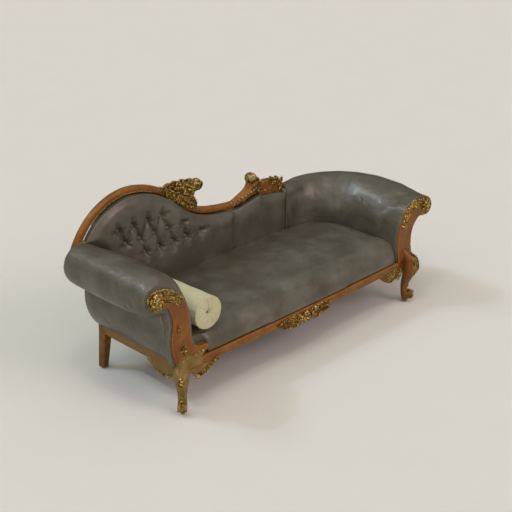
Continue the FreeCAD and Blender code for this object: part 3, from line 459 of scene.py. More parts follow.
def knob(place: Vector, radius: float, flatness: float, fineness: int) -> Piece:
    """Make a flattened round button that faces along y.

    Args:
        place: Its middle in metres.
        radius: Its radius in metres.
        flatness: Its thickness as a share of its width.
        fineness: Number of rings of faces.

    Returns:
        A mesh object.
    """
    bpy.ops.mesh.primitive_uv_sphere_add(segments=2 * fineness, ring_count=fineness, radius=radius, location=place)
    piece = bpy.context.object
    piece.scale = (1.0, flatness, 1.0)
    bpy.ops.object.transform_apply(location=True, rotation=True, scale=True)
    return piece


def smooth_line(marks: Sequence[Vector], count: int) -> list[Vector]:
    """Run an even smooth line through marks.

    Args:
        marks: Points to pass through.
        count: Number of points wanted.

    Returns:
        The points.
    """
    steps = len(marks) - 1
    line = []
    for number in range(count):
        place = number * steps / (count - 1)
        index = min(int(place), steps - 1)
        t = place - index
        before = marks[index - 1] if index > 0 else marks[0] * 2 - marks[1]
        after = marks[index + 2] if index + 2 <= steps else marks[-1] * 2 - marks[-2]
        here, there = marks[index], marks[index + 1]
        line.append(
            0.5
            * (
                2 * here
                + (there - before) * t
                + (2 * before - 5 * here + 4 * there - after) * t * t
                + (3 * here - before - 3 * there + after) * t * t * t
            )
        )
    return line


def cap_outline(frame: dict, node: str, y: float) -> list[Vector]:
    """Find the outline of a solid's flat end that faces forwards.

    Args:
        node: The solid's name.
        y: Where the flat end lies.

    Returns:
        Its points in order, running round the longest loop.
    """
    mesh = bmesh.new()
    mesh.from_mesh(frame["nodes"][node].data)
    bmesh.ops.remove_doubles(mesh, verts=mesh.verts[:], dist=DOUBLE)
    flat = {f for f in mesh.faces if all(abs(v.co.y - y) < FLAT_END for v in f.verts)}
    nexts: dict[int, list[int]] = {}
    for edge in mesh.edges:
        if sum(f in flat for f in edge.link_faces) == 1:
            a, b = edge.verts
            nexts.setdefault(a.index, []).append(b.index)
            nexts.setdefault(b.index, []).append(a.index)
    mesh.verts.ensure_lookup_table()
    best: list[Vector] = []
    seen: set[int] = set()
    for start in nexts:
        if start in seen:
            continue
        loop = [start]
        seen.add(start)
        while True:
            onward = [n for n in nexts[loop[-1]] if n not in seen]
            if not onward:
                break
            loop.append(onward[0])
            seen.add(onward[0])
        if len(loop) > len(best):
            best = [mesh.verts[n].co.copy() for n in loop]
    mesh.free()
    return best


# Shader effects shared between finishes


class Graph:
    """Short-hand for adding and linking nodes in one shader tree."""

    def __init__(self, tree: bpy.types.NodeTree) -> None:
        """Start an empty tree.

        Args:
            tree: The shader tree, whose nodes are cleared.
        """
        self.tree = tree
        self.tree.nodes.clear()

    @classmethod
    def of_material(cls, name: str) -> tuple["Graph", Material]:
        """Start a material.

        Args:
            name: The material's name.

        Returns:
            The graph and the material.
        """
        material = bpy.data.materials.new(name)
        material.use_nodes = True
        return cls(material.node_tree), material

    def add(self, kind: str, settings: dict | None = None, **inputs: object) -> Node:
        """Add a node.

        Args:
            kind: Blender's name of the node type.
            settings: Properties of the node.
            **inputs: Values or sockets for its inputs, with _ for a space.

        Returns:
            The node.
        """
        node = self.tree.nodes.new(kind)
        for key, value in (settings or {}).items():
            setattr(node, key, value)
        for key, value in inputs.items():
            self.feed(node, key.replace("_", " "), value)
        return node

    def feed(self, node: Node, key: str | int, value: Socket | float | tuple) -> None:
        """Set or link one input of a node.

        Args:
            node: The node.
            key: The input's name or number.
            value: A value, or the socket to link from.
        """
        socket = node.inputs[key]
        if isinstance(value, Socket):
            self.tree.links.new(value, socket)
        else:
            socket.default_value = value

    def place(self) -> Socket:
        """Give the socket of Object coordinates, in metres."""
        return self.add("ShaderNodeTexCoord").outputs["Object"]

    def noise(
        self, vector: Socket, scale: Socket | float, detail: float = 3.0, rough: float = 0.5, twist: float = 0.0
    ) -> Socket:
        """Add a noise texture.

        Args:
            vector: Socket of the place.
            scale: Its scale.
            detail: Its detail.
            rough: Its roughness.
            twist: Its distortion.

        Returns:
            The socket of its value.
        """
        node = self.add(
            "ShaderNodeTexNoise", Vector=vector, Scale=scale, Detail=detail, Roughness=rough, Distortion=twist
        )
        return node.outputs["Fac"]

    def spread(
        self, value: Socket, low: Socket | float, high: Socket | float, to_low: float = 0.0, to_high: float = 1.0
    ) -> Socket:
        """Map a value from one range to another, clamped.

        Args:
            value: The socket.
            low: Start of the range.
            high: End of the range.
            to_low: Result at the start.
            to_high: Result at the end.

        Returns:
            The result's socket.
        """
        node = self.add("ShaderNodeMapRange", {"clamp": True})
        for key, number in enumerate((value, low, high, to_low, to_high)):
            self.feed(node, key, number)
        return node.outputs["Result"]

    def mix(self, share: Socket, first: Socket | tuple, second: Socket | tuple, strength: float = 1.0) -> Socket:
        """Mix two colours.

        Args:
            share: Share of the second colour.
            first: A colour or socket.
            second: A colour or socket.
            strength: What the share is multiplied by.

        Returns:
            The colour's socket.
        """
        if strength != 1.0:
            share = self.math("MULTIPLY", share, strength)
        node = self.add("ShaderNodeMix", {"data_type": "RGBA"})
        self.feed(node, 0, share)
        self.feed(node, 6, first if isinstance(first, Socket) else (*first, 1.0))
        self.feed(node, 7, second if isinstance(second, Socket) else (*second, 1.0))
        return node.outputs[2]

    def math(self, kind: str, first: Socket | float, second: Socket | float) -> Socket:
        """Add a sum.

        Args:
            kind: Blender's name of the operation.
            first: A value or socket.
            second: A value or socket.

        Returns:
            The result's socket.
        """
        node = self.add("ShaderNodeMath", {"operation": kind})
        self.feed(node, 0, first)
        self.feed(node, 1, second)
        return node.outputs[0]

    def bump(self, height: Socket, strength: float, distance: float, normal: Socket | None = None) -> Socket:
        """Turn a height into a bumped normal.

        Args:
            height: Socket of the height.
            strength: Strength of the bump.
            distance: Height of one unit in metres.
            normal: Socket of a normal to add to.

        Returns:
            The normal's socket.
        """
        node = self.add("ShaderNodeBump", Height=height, Strength=strength, Distance=distance)
        if normal is not None:
            self.feed(node, "Normal", normal)
        return node.outputs["Normal"]

    def close(self, **inputs: object) -> None:
        """Add the surface and the output.

        Args:
            **inputs: Values or sockets of the surface, with _ for a space.
        """
        surface = self.add("ShaderNodeBsdfPrincipled", None, **inputs)
        self.add("ShaderNodeOutputMaterial", Surface=surface.outputs[0])


class Effects:
    """Shader groups that several finishes share."""

    def __init__(self) -> None:
        """Build each group once."""
        self.mottle = self._group("Mottle", {"Scale": 4.0, "Contrast": 0.15}, ["Mask"], self._mottle)
        # The hollow and edge masks from pointiness darken hollows and lighten edges: partly grime and rubbing, partly
        # painted shade in hollows and painted highlight on edges.
        self.wear_and_painted_light = self._group("Hollows and edges", {"Spread": 0.06}, ["Hollow", "Edge"], self._fill_wear_and_painted_light)
        self.hide = self._group("Hide", {"Scale": 1.0}, ["Height"], self._hide)
        self.streaks = self._group("Streaks", {"Length": 1.0}, ["Mask"], self._streaks)

    def _group(self, name: str, values: dict, outputs: list, fill: Callable) -> bpy.types.NodeTree:
        """Make one group.

        Args:
            name: The group's name.
            values: Its number inputs with their usual values.
            outputs: Its outputs.
            fill: Adds its nodes, between the group's inputs and its outputs.

        Returns:
            The group.
        """
        tree = bpy.data.node_groups.new(name, "ShaderNodeTree")
        tree.interface.new_socket("Vector", in_out="INPUT", socket_type="NodeSocketVector")
        for key, value in values.items():
            socket = tree.interface.new_socket(key, in_out="INPUT", socket_type="NodeSocketFloat")
            socket.default_value = value
        for key in outputs:
            tree.interface.new_socket(key, in_out="OUTPUT", socket_type="NodeSocketFloat")
        graph = Graph(tree)
        fill(graph, graph.add("NodeGroupInput").outputs, graph.add("NodeGroupOutput"))
        return tree

    def _about_half(self, graph: Graph, reach: Socket) -> tuple[Socket, Socket]:
        """Give the two ends of a range that lies evenly about a half.

        Args:
            graph: The graph.
            reach: How far each end is from a half.

        Returns:
            The sockets of the low and the high end.
        """
        return graph.math("SUBTRACT", 0.5, reach), graph.math("ADD", 0.5, reach)

    def _mottle(self, graph: Graph, source: Sequence[Socket], target: Node) -> None:
        """Fill the group of soft clouds.

        Args:
            graph: The group's graph.
            source: The group's inputs.
            target: The node of its outputs.
        """
        cloud = graph.noise(source["Vector"], source["Scale"], 6.0, 0.62, 0.4)
        graph.feed(target, "Mask", graph.spread(cloud, *self._about_half(graph, source["Contrast"])))

    def _fill_wear_and_painted_light(self, graph: Graph, source: Sequence[Socket], target: Node) -> None:
        """Fill the group that finds hollows and edges.

        Args:
            graph: The group's graph.
            source: The group's inputs.
            target: The node of its outputs.
        """
        point = graph.add("ShaderNodeNewGeometry").outputs["Pointiness"]
        low, high = self._about_half(graph, source["Spread"])
        # Hollow mask carries grime and painted shade; Edge mask carries rubbed wear and painted highlight.
        graph.feed(target, "Hollow", graph.spread(point, low, 0.5, 1.0, 0.0))
        graph.feed(target, "Edge", graph.spread(point, 0.5, high))

    def _hide(self, graph: Graph, source: Sequence[Socket], target: Node) -> None:
        """Fill the group of the leather's grain.

        Args:
            graph: The group's graph.
            source: The group's inputs.
            target: The node of its outputs.
        """
        cells = graph.add(
            "ShaderNodeTexVoronoi", {"feature": "DISTANCE_TO_EDGE"}, Vector=source["Vector"],
            Scale=graph.math("MULTIPLY", source["Scale"], 330.0), Randomness=0.9,
        )
        fine = graph.noise(source["Vector"], 700.0, 2.0)
        grain = graph.spread(cells.outputs["Distance"], 0.0, 0.28)
        graph.feed(target, "Height", graph.math("ADD", grain, graph.math("MULTIPLY", fine, 0.4)))

    def _streaks(self, graph: Graph, source: Sequence[Socket], target: Node) -> None:
        """Fill the group of the wood's grain.

        Args:
            graph: The group's graph.
            source: The group's inputs.
            target: The node of its outputs.
        """
        wide = graph.add("ShaderNodeVectorMath", {"operation": "SCALE"})
        graph.feed(wide, 0, source["Vector"])
        graph.feed(wide, "Scale", source["Length"])
        band = graph.noise(wide.outputs[0], 9.0, 5.0, 0.6, 0.8)
        fine = graph.noise(wide.outputs[0], 60.0, 3.0, 0.6, 0.3)
        total = graph.math("ADD", graph.math("MULTIPLY", band, 0.7), graph.math("MULTIPLY", fine, 0.3))
        graph.feed(target, "Mask", graph.spread(total, 0.36, 0.64))

    def use(self, graph: Graph, tree: bpy.types.NodeTree, **inputs: object) -> Sequence[Socket]:
        """Place a shared group in a graph.

        Args:
            graph: The graph.
            tree: The group.
            **inputs: Its inputs.

        Returns:
            The group's outputs.
        """
        return graph.add("ShaderNodeGroup", {"node_tree": tree}, **inputs).outputs

    def clouds(self, graph: Graph, place: Socket, scale: float, contrast: float) -> Socket:
        """Place soft clouds in a graph.

        Args:
            graph: The graph.
            place: Socket of the place.
            scale: Clouds in a metre.
            contrast: How wide the step from light to dark is.

        Returns:
            The socket of their mask.
        """
        return self.use(graph, self.mottle, Vector=place, Scale=scale, Contrast=contrast)[0]


@dataclass(frozen=True)
class Finish:
    """A finish of the sofa. Each kind says what its surface is like."""

    name: str

    def build(self, effects: Effects) -> Material:
        """Make the material.

        Args:
            effects: The shared shader groups.

        Returns:
            The material.
        """
        graph, material = Graph.of_material(self.name)
        self.surface(graph, graph.place(), effects)
        return material

    def surface(self, graph: Graph, place: Socket, effects: Effects) -> None:
        """Lay out the surface, which each kind of finish does in its own way.

        Args:
            graph: The material's graph.
            place: Socket of the place.
            effects: The shared shader groups.
        """
        raise NotImplementedError


@dataclass(frozen=True)
class Leather(Finish):
    """Worn, polished leather with a mottled patina and fine grain."""

    name: str = "Worn leather"
    dark: tuple = (0.046, 0.042, 0.029)
    light: tuple = (0.110, 0.102, 0.075)
    roughness: float = 0.36
    creases: float = 0.35
    brown: tuple = (0.046, 0.034, 0.020)
    # Colour of hollows and creases: partly grime, partly painted shade.
    grime_and_shade: tuple = (0.022, 0.018, 0.013)
    # Colour of edges: partly rubbed wear, partly painted highlight.
    rubbed_and_highlight: tuple = (0.19, 0.165, 0.12)
    tint: tuple = (1.0, 0.93, 0.80, 1.0)

    def surface(self, graph: Graph, place: Socket, effects: Effects) -> None:
        """Lay out the leather.

        Args:
            graph: The material's graph.
            place: Socket of the place.
            effects: The shared shader groups.
        """
        patina = effects.clouds(graph, place, 5.0, 0.2)
        stain = effects.clouds(graph, place, 7.0, 0.10)
        wear_and_light = effects.use(graph, effects.wear_and_painted_light, Vector=place, Spread=0.05)
        colour = graph.mix(patina, self.dark, self.light)
        colour = graph.mix(stain, colour, self.brown, 0.62)
        # Darken hollows and creases: partly grime, partly painted shade.
        colour = graph.mix(wear_and_light["Hollow"], colour, self.grime_and_shade, 0.6)
        # Lighten edges: partly rubbed wear, partly painted highlight.
        colour = graph.mix(wear_and_light["Edge"], colour, self.rubbed_and_highlight, 0.35)
        hide = effects.use(graph, effects.hide, Vector=place, Scale=1.0)[0]
        slack = graph.noise(place, 13.0, 5.0, 0.55, 0.9)
        normal = graph.bump(slack, self.creases, 0.012)
        normal = graph.bump(hide, 0.22, 0.0006, normal)
        shine = graph.spread(graph.noise(place, 8.0, 4.0), 0.3, 0.7, self.roughness - 0.08, self.roughness + 0.12)
        graph.close(
            Base_Color=colour, Roughness=shine, Normal=normal, Coat_Weight=0.16, Coat_Roughness=0.18,
            Specular_Tint=self.tint,
        )


@dataclass(frozen=True)
class Wood(Finish):
    """Polished show wood with grain along one axis and traces of gilding."""

    stretch: tuple
    dark: tuple = (0.065, 0.016, 0.003)
    middle: tuple = (0.155, 0.047, 0.008)
    light: tuple = (0.260, 0.092, 0.016)
    gold: float = 0.30
    roughness: float = 0.34
    coat: float = 0.06
    tint: tuple = (1.0, 0.55, 0.22)
    leaf: tuple = (0.34, 0.21, 0.05)
    # Colour of hollows: partly grime, partly painted shade.
    grime_and_shade: tuple = (0.014, 0.005, 0.002)
    # Colour of edges: partly rubbed wear, partly painted highlight.
    rubbed_and_highlight: tuple = (0.36, 0.16, 0.04)

    def surface(self, graph: Graph, place: Socket, effects: Effects) -> None:
        """Lay out the wood.

        Args:
            graph: The material's graph.
            place: Socket of the place.
            effects: The shared shader groups.
        """
        run = graph.add("ShaderNodeMapping", Vector=place, Scale=self.stretch).outputs[0]
        grain = effects.use(graph, effects.streaks, Vector=run, Length=1.0)[0]
        tone = effects.clouds(graph, place, 6.0, 0.2)
        flecks = effects.clouds(graph, place, 34.0, 0.09)
        wear_and_light = effects.use(graph, effects.wear_and_painted_light, Vector=place, Spread=0.06)
        colour = graph.mix(grain, self.dark, self.middle)
        colour = graph.mix(tone, colour, self.light, 0.45)
        colour = graph.mix(graph.math("MULTIPLY", flecks, tone), colour, self.leaf, self.gold)
        # Darken hollows: partly grime, partly painted shade.
        colour = graph.mix(wear_and_light["Hollow"], colour, self.grime_and_shade, 0.75)
        # Lighten edges: partly rubbed wear, partly painted highlight.
        colour = graph.mix(wear_and_light["Edge"], colour, self.rubbed_and_highlight, 0.35)
        normal = graph.bump(grain, 0.18, 0.0012)
        normal = graph.bump(graph.noise(place, 26.0, 3.0), 0.12, 0.004, normal)
        shine = graph.spread(tone, 0.0, 1.0, self.roughness, self.roughness + 0.16)
        graph.close(
            Base_Color=colour, Roughness=shine, Normal=normal, Coat_Weight=self.coat, Coat_Roughness=0.15,
            Specular_Tint=(*self.tint, 1.0),
        )


@dataclass(frozen=True)
class Gilding(Finish):
    """Old water gilding: gold on the heights with painted glints, dark brown in the hollows as grime and painted
    shade, cut into small grains.
    """

    name: str = "Old gilding"
    gold: tuple = (0.420, 0.210, 0.024)
    dull: tuple = (0.120, 0.060, 0.008)
    # Colour put in the grain's low spots and the carving's hollows: partly grime, partly painted shade.
    hollow: tuple = (0.014, 0.008, 0.002)
    roughness: float = 0.20
    metal: float = 0.9
    # Colour of edges: partly rubbed gilding, partly painted highlight.
    rubbed_and_highlight: tuple = (0.80, 0.60, 0.24)
    # Painted glints: bright specks where the grain is highest.
    painted_glint: tuple = (1.0, 0.76, 0.28)
    tint: tuple = (1.0, 0.62, 0.22, 1.0)

    def surface(self, graph: Graph, place: Socket, effects: Effects) -> None:
        """Lay out the gilding.

        Args:
            graph: The material's graph.
            place: Socket of the place.
            effects: The shared shader groups.
        """
        thin = effects.clouds(graph, place, 30.0, 0.16)
        wear_and_light = effects.use(graph, effects.wear_and_painted_light, Vector=place, Spread=0.08)
        grain = graph.noise(place, 95.0, 4.0, 0.65, 0.6)
        pits = graph.spread(grain, 0.40, 0.56, 1.0, 0.0)
        # Mask of painted glints on the grain's highest specks.
        painted_glint_mask = graph.spread(grain, 0.555, 0.600)
        colour = graph.mix(thin, self.dull, self.gold)
        # Lighten edges: partly rubbed gilding, partly painted highlight.
        colour = graph.mix(wear_and_light["Edge"], colour, self.rubbed_and_highlight, 0.7)
        # Darken the grain's low spots: partly grime, partly painted shade.
        colour = graph.mix(pits, colour, self.hollow, 0.85)
        # Paint glints on the grain's highest specks.
        colour = graph.mix(painted_glint_mask, colour, self.painted_glint, self.metal)
        # Darken hollows: partly grime, partly painted shade.
        colour = graph.mix(wear_and_light["Hollow"], colour, self.hollow, 0.9)
        metal = graph.math("MULTIPLY", graph.spread(wear_and_light["Hollow"], 0.0, 1.0, 1.0, 0.2), self.metal)
        shine = graph.spread(thin, 0.0, 1.0, self.roughness + 0.2, self.roughness)
        normal = graph.bump(grain, 1.0, 0.009)
        normal = graph.bump(graph.noise(place, 320.0, 3.0, 0.6), 0.30, 0.0012, normal)
        graph.close(Base_Color=colour, Metallic=metal, Roughness=shine, Normal=normal, Specular_Tint=self.tint)


@dataclass(frozen=True)
class Cloth(Finish):
    """Woven cloth."""

    light: tuple
    dark: tuple
    threads: float = 45.0
    weave: float = 0.4
    sheen: float = 0.3

    def surface(self, graph: Graph, place: Socket, effects: Effects) -> None:
        """Lay out the cloth.

        Args:
            graph: The material's graph.
            place: Socket of the place.
            effects: The shared shader groups.
        """
        waves = [
            graph.add("ShaderNodeTexWave", {"bands_direction": way}, Vector=place, Scale=self.threads, Distortion=1.2,
                      Detail=2.0).outputs["Fac"]
            for way in ("X", "Y", "Z")
        ]
        woven = graph.math("MULTIPLY", graph.math("ADD", graph.math("ADD", waves[0], waves[1]), waves[2]), 0.34)
        tone = effects.clouds(graph, place, 9.0, 0.22)
        colour = graph.mix(tone, self.light, self.dark)
        colour = graph.mix(graph.spread(woven, 0.3, 0.8, 1.0, 0.0), colour, self.dark, 0.25)
        normal = graph.bump(graph.noise(place, 30.0, 4.0, 0.5, 0.6), 0.25, 0.006)
        normal = graph.bump(woven, self.weave, 0.0007, normal)
        graph.close(Base_Color=colour, Roughness=0.85, Normal=normal, Sheen_Weight=self.sheen, Specular_IOR_Level=0.2)


@dataclass(frozen=True)
class Metal(Finish):
    """Bright metal with tarnish and small scratches."""

    colour: tuple
    roughness: float = 0.35
    tarnish: tuple = (0.05, 0.045, 0.04)

    def surface(self, graph: Graph, place: Socket, effects: Effects) -> None:
        """Lay out the metal.

        Args:
            graph: The material's graph.
            place: Socket of the place.
            effects: The shared shader groups.
        """
        dull = effects.clouds(graph, place, 60.0, 0.2)
        colour = graph.mix(dull, self.colour, self.tarnish, 0.5)
        shine = graph.spread(dull, 0.0, 1.0, self.roughness, self.roughness + 0.25)
        normal = graph.bump(graph.noise(place, 400.0, 2.0), 0.1, 0.0005)
        graph.close(Base_Color=colour, Metallic=1.0, Roughness=shine, Normal=normal)


class Finishes:
    """Every finish of the sofa, built once."""

    def __init__(self) -> None:
        """Build the finishes."""
        effects = Effects()
        self.leather = Leather().build(effects)
        # Piping leather is lighter than the main leather: partly its own tone, partly a painted highlight along the
        # roll edges and the rail's edge.
        self.piping = Leather("Piping leather", (0.060, 0.056, 0.044), (0.13, 0.12, 0.10), creases=0.1).build(effects)
        self.button = Leather(
            "Button leather", (0.040, 0.036, 0.027), (0.09, 0.08, 0.06), roughness=0.2, creases=0.05
        ).build(effects)
        self.wood_x = Wood("Show wood, grain along x", (1.0, 12.0, 12.0)).build(effects)
        # Darker than the other show wood: these tones are partly the wood's own, partly painted shade for side faces
        # that turn away from the light.
        self.wood_y = Wood(
            "Show wood, grain along y", (12.0, 1.0, 12.0), (0.022, 0.011, 0.004), (0.056, 0.033, 0.012),
            (0.105, 0.074, 0.030),
        ).build(effects)
        upright = (10.0, 10.0, 1.0)
        self.wood_z = Wood("Show wood, grain upright", upright).build(effects)
        self.dark_wood = Wood(
            "Dark show wood", upright, (0.045, 0.012, 0.003), (0.105, 0.036, 0.009), (0.180, 0.075, 0.020)
        ).build(effects)
        self.dull_wood = Wood(
            "Dulled gold wood", upright, (0.070, 0.038, 0.006), (0.150, 0.085, 0.014), (0.235, 0.150, 0.028),
            gold=0.6, roughness=0.38, tint=(1.0, 0.8, 0.45),
        ).build(effects)
        self.gilt = Gilding().build(effects)
        self.dull_gilt = Gilding(
            "Dulled gilding", (0.260, 0.140, 0.020), (0.095, 0.050, 0.008), roughness=0.30, metal=0.45
        ).build(effects)
        self.ball_gilt = Gilding(
            "Darkened gilding", (0.120, 0.062, 0.010), (0.040, 0.022, 0.005), roughness=0.22, metal=0.5
        ).build(effects)
        self.inner_wood = Wood(
            "Plain beech", (1.0, 9.0, 9.0), (0.33, 0.20, 0.10), (0.47, 0.31, 0.17), (0.55, 0.39, 0.24),
            gold=0.0, roughness=0.6, coat=0.0, tint=(1.0, 1.0, 1.0),
        ).build(effects)
        self.cloth = Cloth("Bolster cloth", (0.53, 0.50, 0.31), (0.41, 0.38, 0.22), sheen=0.1).build(effects)
        self.filling = Cloth("Bolster filling", (0.70, 0.66, 0.58), (0.52, 0.47, 0.38), 15.0).build(effects)
        self.hessian = Cloth("Hessian", (0.36, 0.27, 0.15), (0.20, 0.14, 0.07), 25.0, 0.8, 0.05).build(effects)
        self.webbing = Cloth("Webbing", (0.42, 0.36, 0.26), (0.24, 0.19, 0.12), 35.0, 0.8, 0.05).build(effects)
        self.dust_cloth = Cloth("Black dust cloth", (0.030, 0.029, 0.028), (0.016, 0.016, 0.016), 55.0).build(effects)
        self.steel = Metal("Steel", (0.42, 0.41, 0.39)).build(effects)


# Upholstery


@dataclass
class Stuffing:
    """How a solid of the frame becomes a stuffed, leather-covered piece."""

    node: str
    name: str
    held: Field3
    shape: Field3
    voxel: float = 0.011
    smooth: int = 3
    pressure: float = 4.0
    growth: float = 0.012
    cap: float = 0.014
    fill: float = 0.8
    frames: int = 20
    inward_kept: float = 0.2

    def build(self, frame: dict, material: Material) -> Piece:
        """Make the piece.

        Args:
            material: Its finish.

        Returns:
            The piece.
        """
        LOG.info("stuffing %s", self.name)
        piece = copy_node(frame, self.node, self.name)
        remesh(piece, self.voxel, self.smooth)
        self._blow(piece)
        move_points(piece, self.shape(points_of(piece)))
        subdivide(piece)
        shade(piece, 60.0)
        return finish_piece(piece, material, replaces=[self.node])

    def _blow(self, piece: Piece) -> None:
        """Fill the leather from within, and keep it near the solid.

        Args:
            piece: The remeshed piece.
        """
        before, normals = points_of(piece), points_of(piece, "normal")
        group = piece.vertex_groups.new(name="held")
        for vertex in np.flatnonzero(self.held(before)):
            group.add([int(vertex)], 1.0, "REPLACE")
        stuffing = piece.modifiers.new("Stuffing", "CLOTH")
        settings = stuffing.settings
        settings.quality = 4
        settings.vertex_group_mass = "held"
        settings.use_pressure = True
        settings.uniform_pressure_force = self.pressure
        settings.shrink_min = -self.growth
        settings.effector_weights.gravity = 0.0
        stuffing.collision_settings.use_collision = False
        for number in range(1, self.frames + 1):
            bpy.context.scene.frame_set(number)
        apply_modifier(piece, "Stuffing")
        bpy.context.scene.frame_set(1)
        moved = points_of(piece) - before
        inward = np.minimum(np.einsum("ij,ij->i", moved, normals), 0.0)
        moved -= normals * inward[:, None] * (1.0 - self.inward_kept)
        length = np.maximum(np.linalg.norm(moved, axis=1), TINY)
        moved *= np.minimum(1.0, self.cap / length)[:, None]
        move_points(piece, before + moved)
        relax(piece, 6)


@dataclass
class Tufting:
    """The deep-buttoned back: buttons, folds between them and pleats out to its edges."""

    pitch: float = 0.0985
    fullness: float = 0.028
    fold_width: float = 0.0125
    fold_depth: float = 0.62
    dip: float = 0.016
    dip_width: float = 0.020
    pucker: float = 0.0040
    pucker_at: float = 0.021
    pucker_width: float = 0.014
    lobes: int = 7
    edge: float = 0.022
    grid: float = 0.0065
    button: float = 0.0105
    centres: list = field(default_factory=list)

    def find_buttons(self, frame: dict) -> None:
        """Read where the buttons are from the frame.
        """
        piece = copy_node(frame, "tufting_buttons", "buttons to measure")
        mesh = bmesh.new()
        mesh.from_mesh(piece.data)
        left = set(mesh.verts)
        while left:
            stack = [left.pop()]
            island = [stack[0]]
            while stack:
                for edge in stack.pop().link_edges:
                    for other in edge.verts:
                        if other in left:
                            left.discard(other)
                            stack.append(other)
                            island.append(other)
            middle = sum((v.co for v in island), Vector()) / len(island)
            self.centres.append((middle.x, middle.z))
        mesh.free()
        bpy.data.objects.remove(piece)
        self.centres.sort(key=lambda c: (-round(c[1], 2), c[0]))

    def folds(self) -> list[tuple[Point2, Point2, float]]:
        """List the folds of the leather.

        Returns:
            Start, end and the share of depth left at the end of each fold.
        """
        found = []
        rows = sorted({round(z, 3) for _, z in self.centres}, reverse=True)
        near = self.pitch * 0.62
        for x, z in self.centres:
            row = min(range(len(rows)), key=lambda k: abs(rows[k] - z))
            for other_x, other_z in self.centres:
                below = min(range(len(rows)), key=lambda k: abs(rows[k] - other_z))
                if below == row + 1 and abs(other_x - x) < near:
                    found.append(((x, z), (other_x, other_z), 1.0))
            if row == 0:
                found.append(((x, z), (x + (x + 0.56) * 0.12, z + 0.065), 0.0))
            if row == len(rows) - 1:
                found.append(((x, z), (x + 0.005, z - 0.060), 0.0))
        for row in rows:
            buttons = [centre for centre in self.centres if abs(centre[1] - row) < 0.01]
            last, first = max(buttons), min(buttons)
            found.append((last, (last[0] + 0.075, last[1] + 0.010), 0.0))
            found.append((first, (first[0] - 0.065, first[1] + 0.008), 0.0))
        return found

    def relief(self, points: np.ndarray) -> tuple[np.ndarray, np.ndarray, np.ndarray]:
        """Work out the folds, the button dips and the puckers round the buttons over the back.

        Args:
            points: Places on the back.

        Returns:
            The depth of fold from 0 to 1, the dip of the buttons from 0 to 1 and the puckers from -1 to 1.
        """
        flat = points[:, (0, 2)]
        fold = np.zeros(len(points))
        for start, end, left in self.folds():
            start_at, run = np.array(start), np.array(end) - np.array(start)
            along = np.clip(((flat - start_at) @ run) / (run @ run), 0.0, 1.0)
            away = np.linalg.norm(flat - start_at - along[:, None] * run, axis=1)
            depth = (1.0 - (1.0 - left) * along**1.3) * np.exp(-((away / self.fold_width) ** 1.25))
            fold = np.maximum(fold, depth)
        dip = np.zeros(len(points))
        pucker = np.zeros(len(points))
        for number, centre in enumerate(self.centres):
            out = flat - np.array(centre)
            away = np.linalg.norm(out, axis=1)
            turn = np.arctan2(out[:, 1], out[:, 0])
            dip = np.maximum(dip, np.exp(-((away / self.dip_width) ** 2)))
            ring = np.exp(-(((away - self.pucker_at) / self.pucker_width) ** 2))
            pucker += ring * np.cos(turn * self.lobes + number * 1.7 + np.sin(turn * 2 + number))
        return fold, dip, pucker

    def build(self, frame: dict, finishes: Finishes) -> None:
        """Make the buttoned back and its buttons.

        Args:
            finishes: The sofa's finishes.
        """
        self.find_buttons(frame)
        piece = gridded(frame, "tufted_back_pad", "Buttoned back", self.grid)
        points = points_of(piece)
        front = points[:, 1].min()
        on_face = points[:, 1] < front + ON_FACE
        away = rim_distance(piece, on_face)
        fold, dip, pucker = self.relief(points)
        rise = 1.0 - np.exp(-((away / self.edge) ** 1.4))
        height = self.fullness * (1.0 - self.fold_depth * fold) - self.dip * dip + self.pucker * pucker
        points[:, 1] -= on_face * rise * height
        move_points(piece, points)
        relax(piece, 1, 0.4)
        subdivide(piece)
        shade(piece, PANEL_SHADE)
        finish_piece(piece, finishes.leather, replaces=["tufted_back_pad"])
        self._buttons(front, finishes)

    def _buttons(self, front: float, finishes: Finishes) -> None:
        """Make the buttons, sunk to the front of the solid.

        Args:
            front: Where the solid's front lies.
            finishes: The sofa's finishes.
        """
        buttons = [knob(Vector((x, front - 0.001, z)), self.button, 0.55, 10) for x, z in self.centres]
        piece = join(buttons, "Back buttons")
        shade(piece, 60.0)
        finish_piece(piece, finishes.button, replaces=["tufting_buttons"])


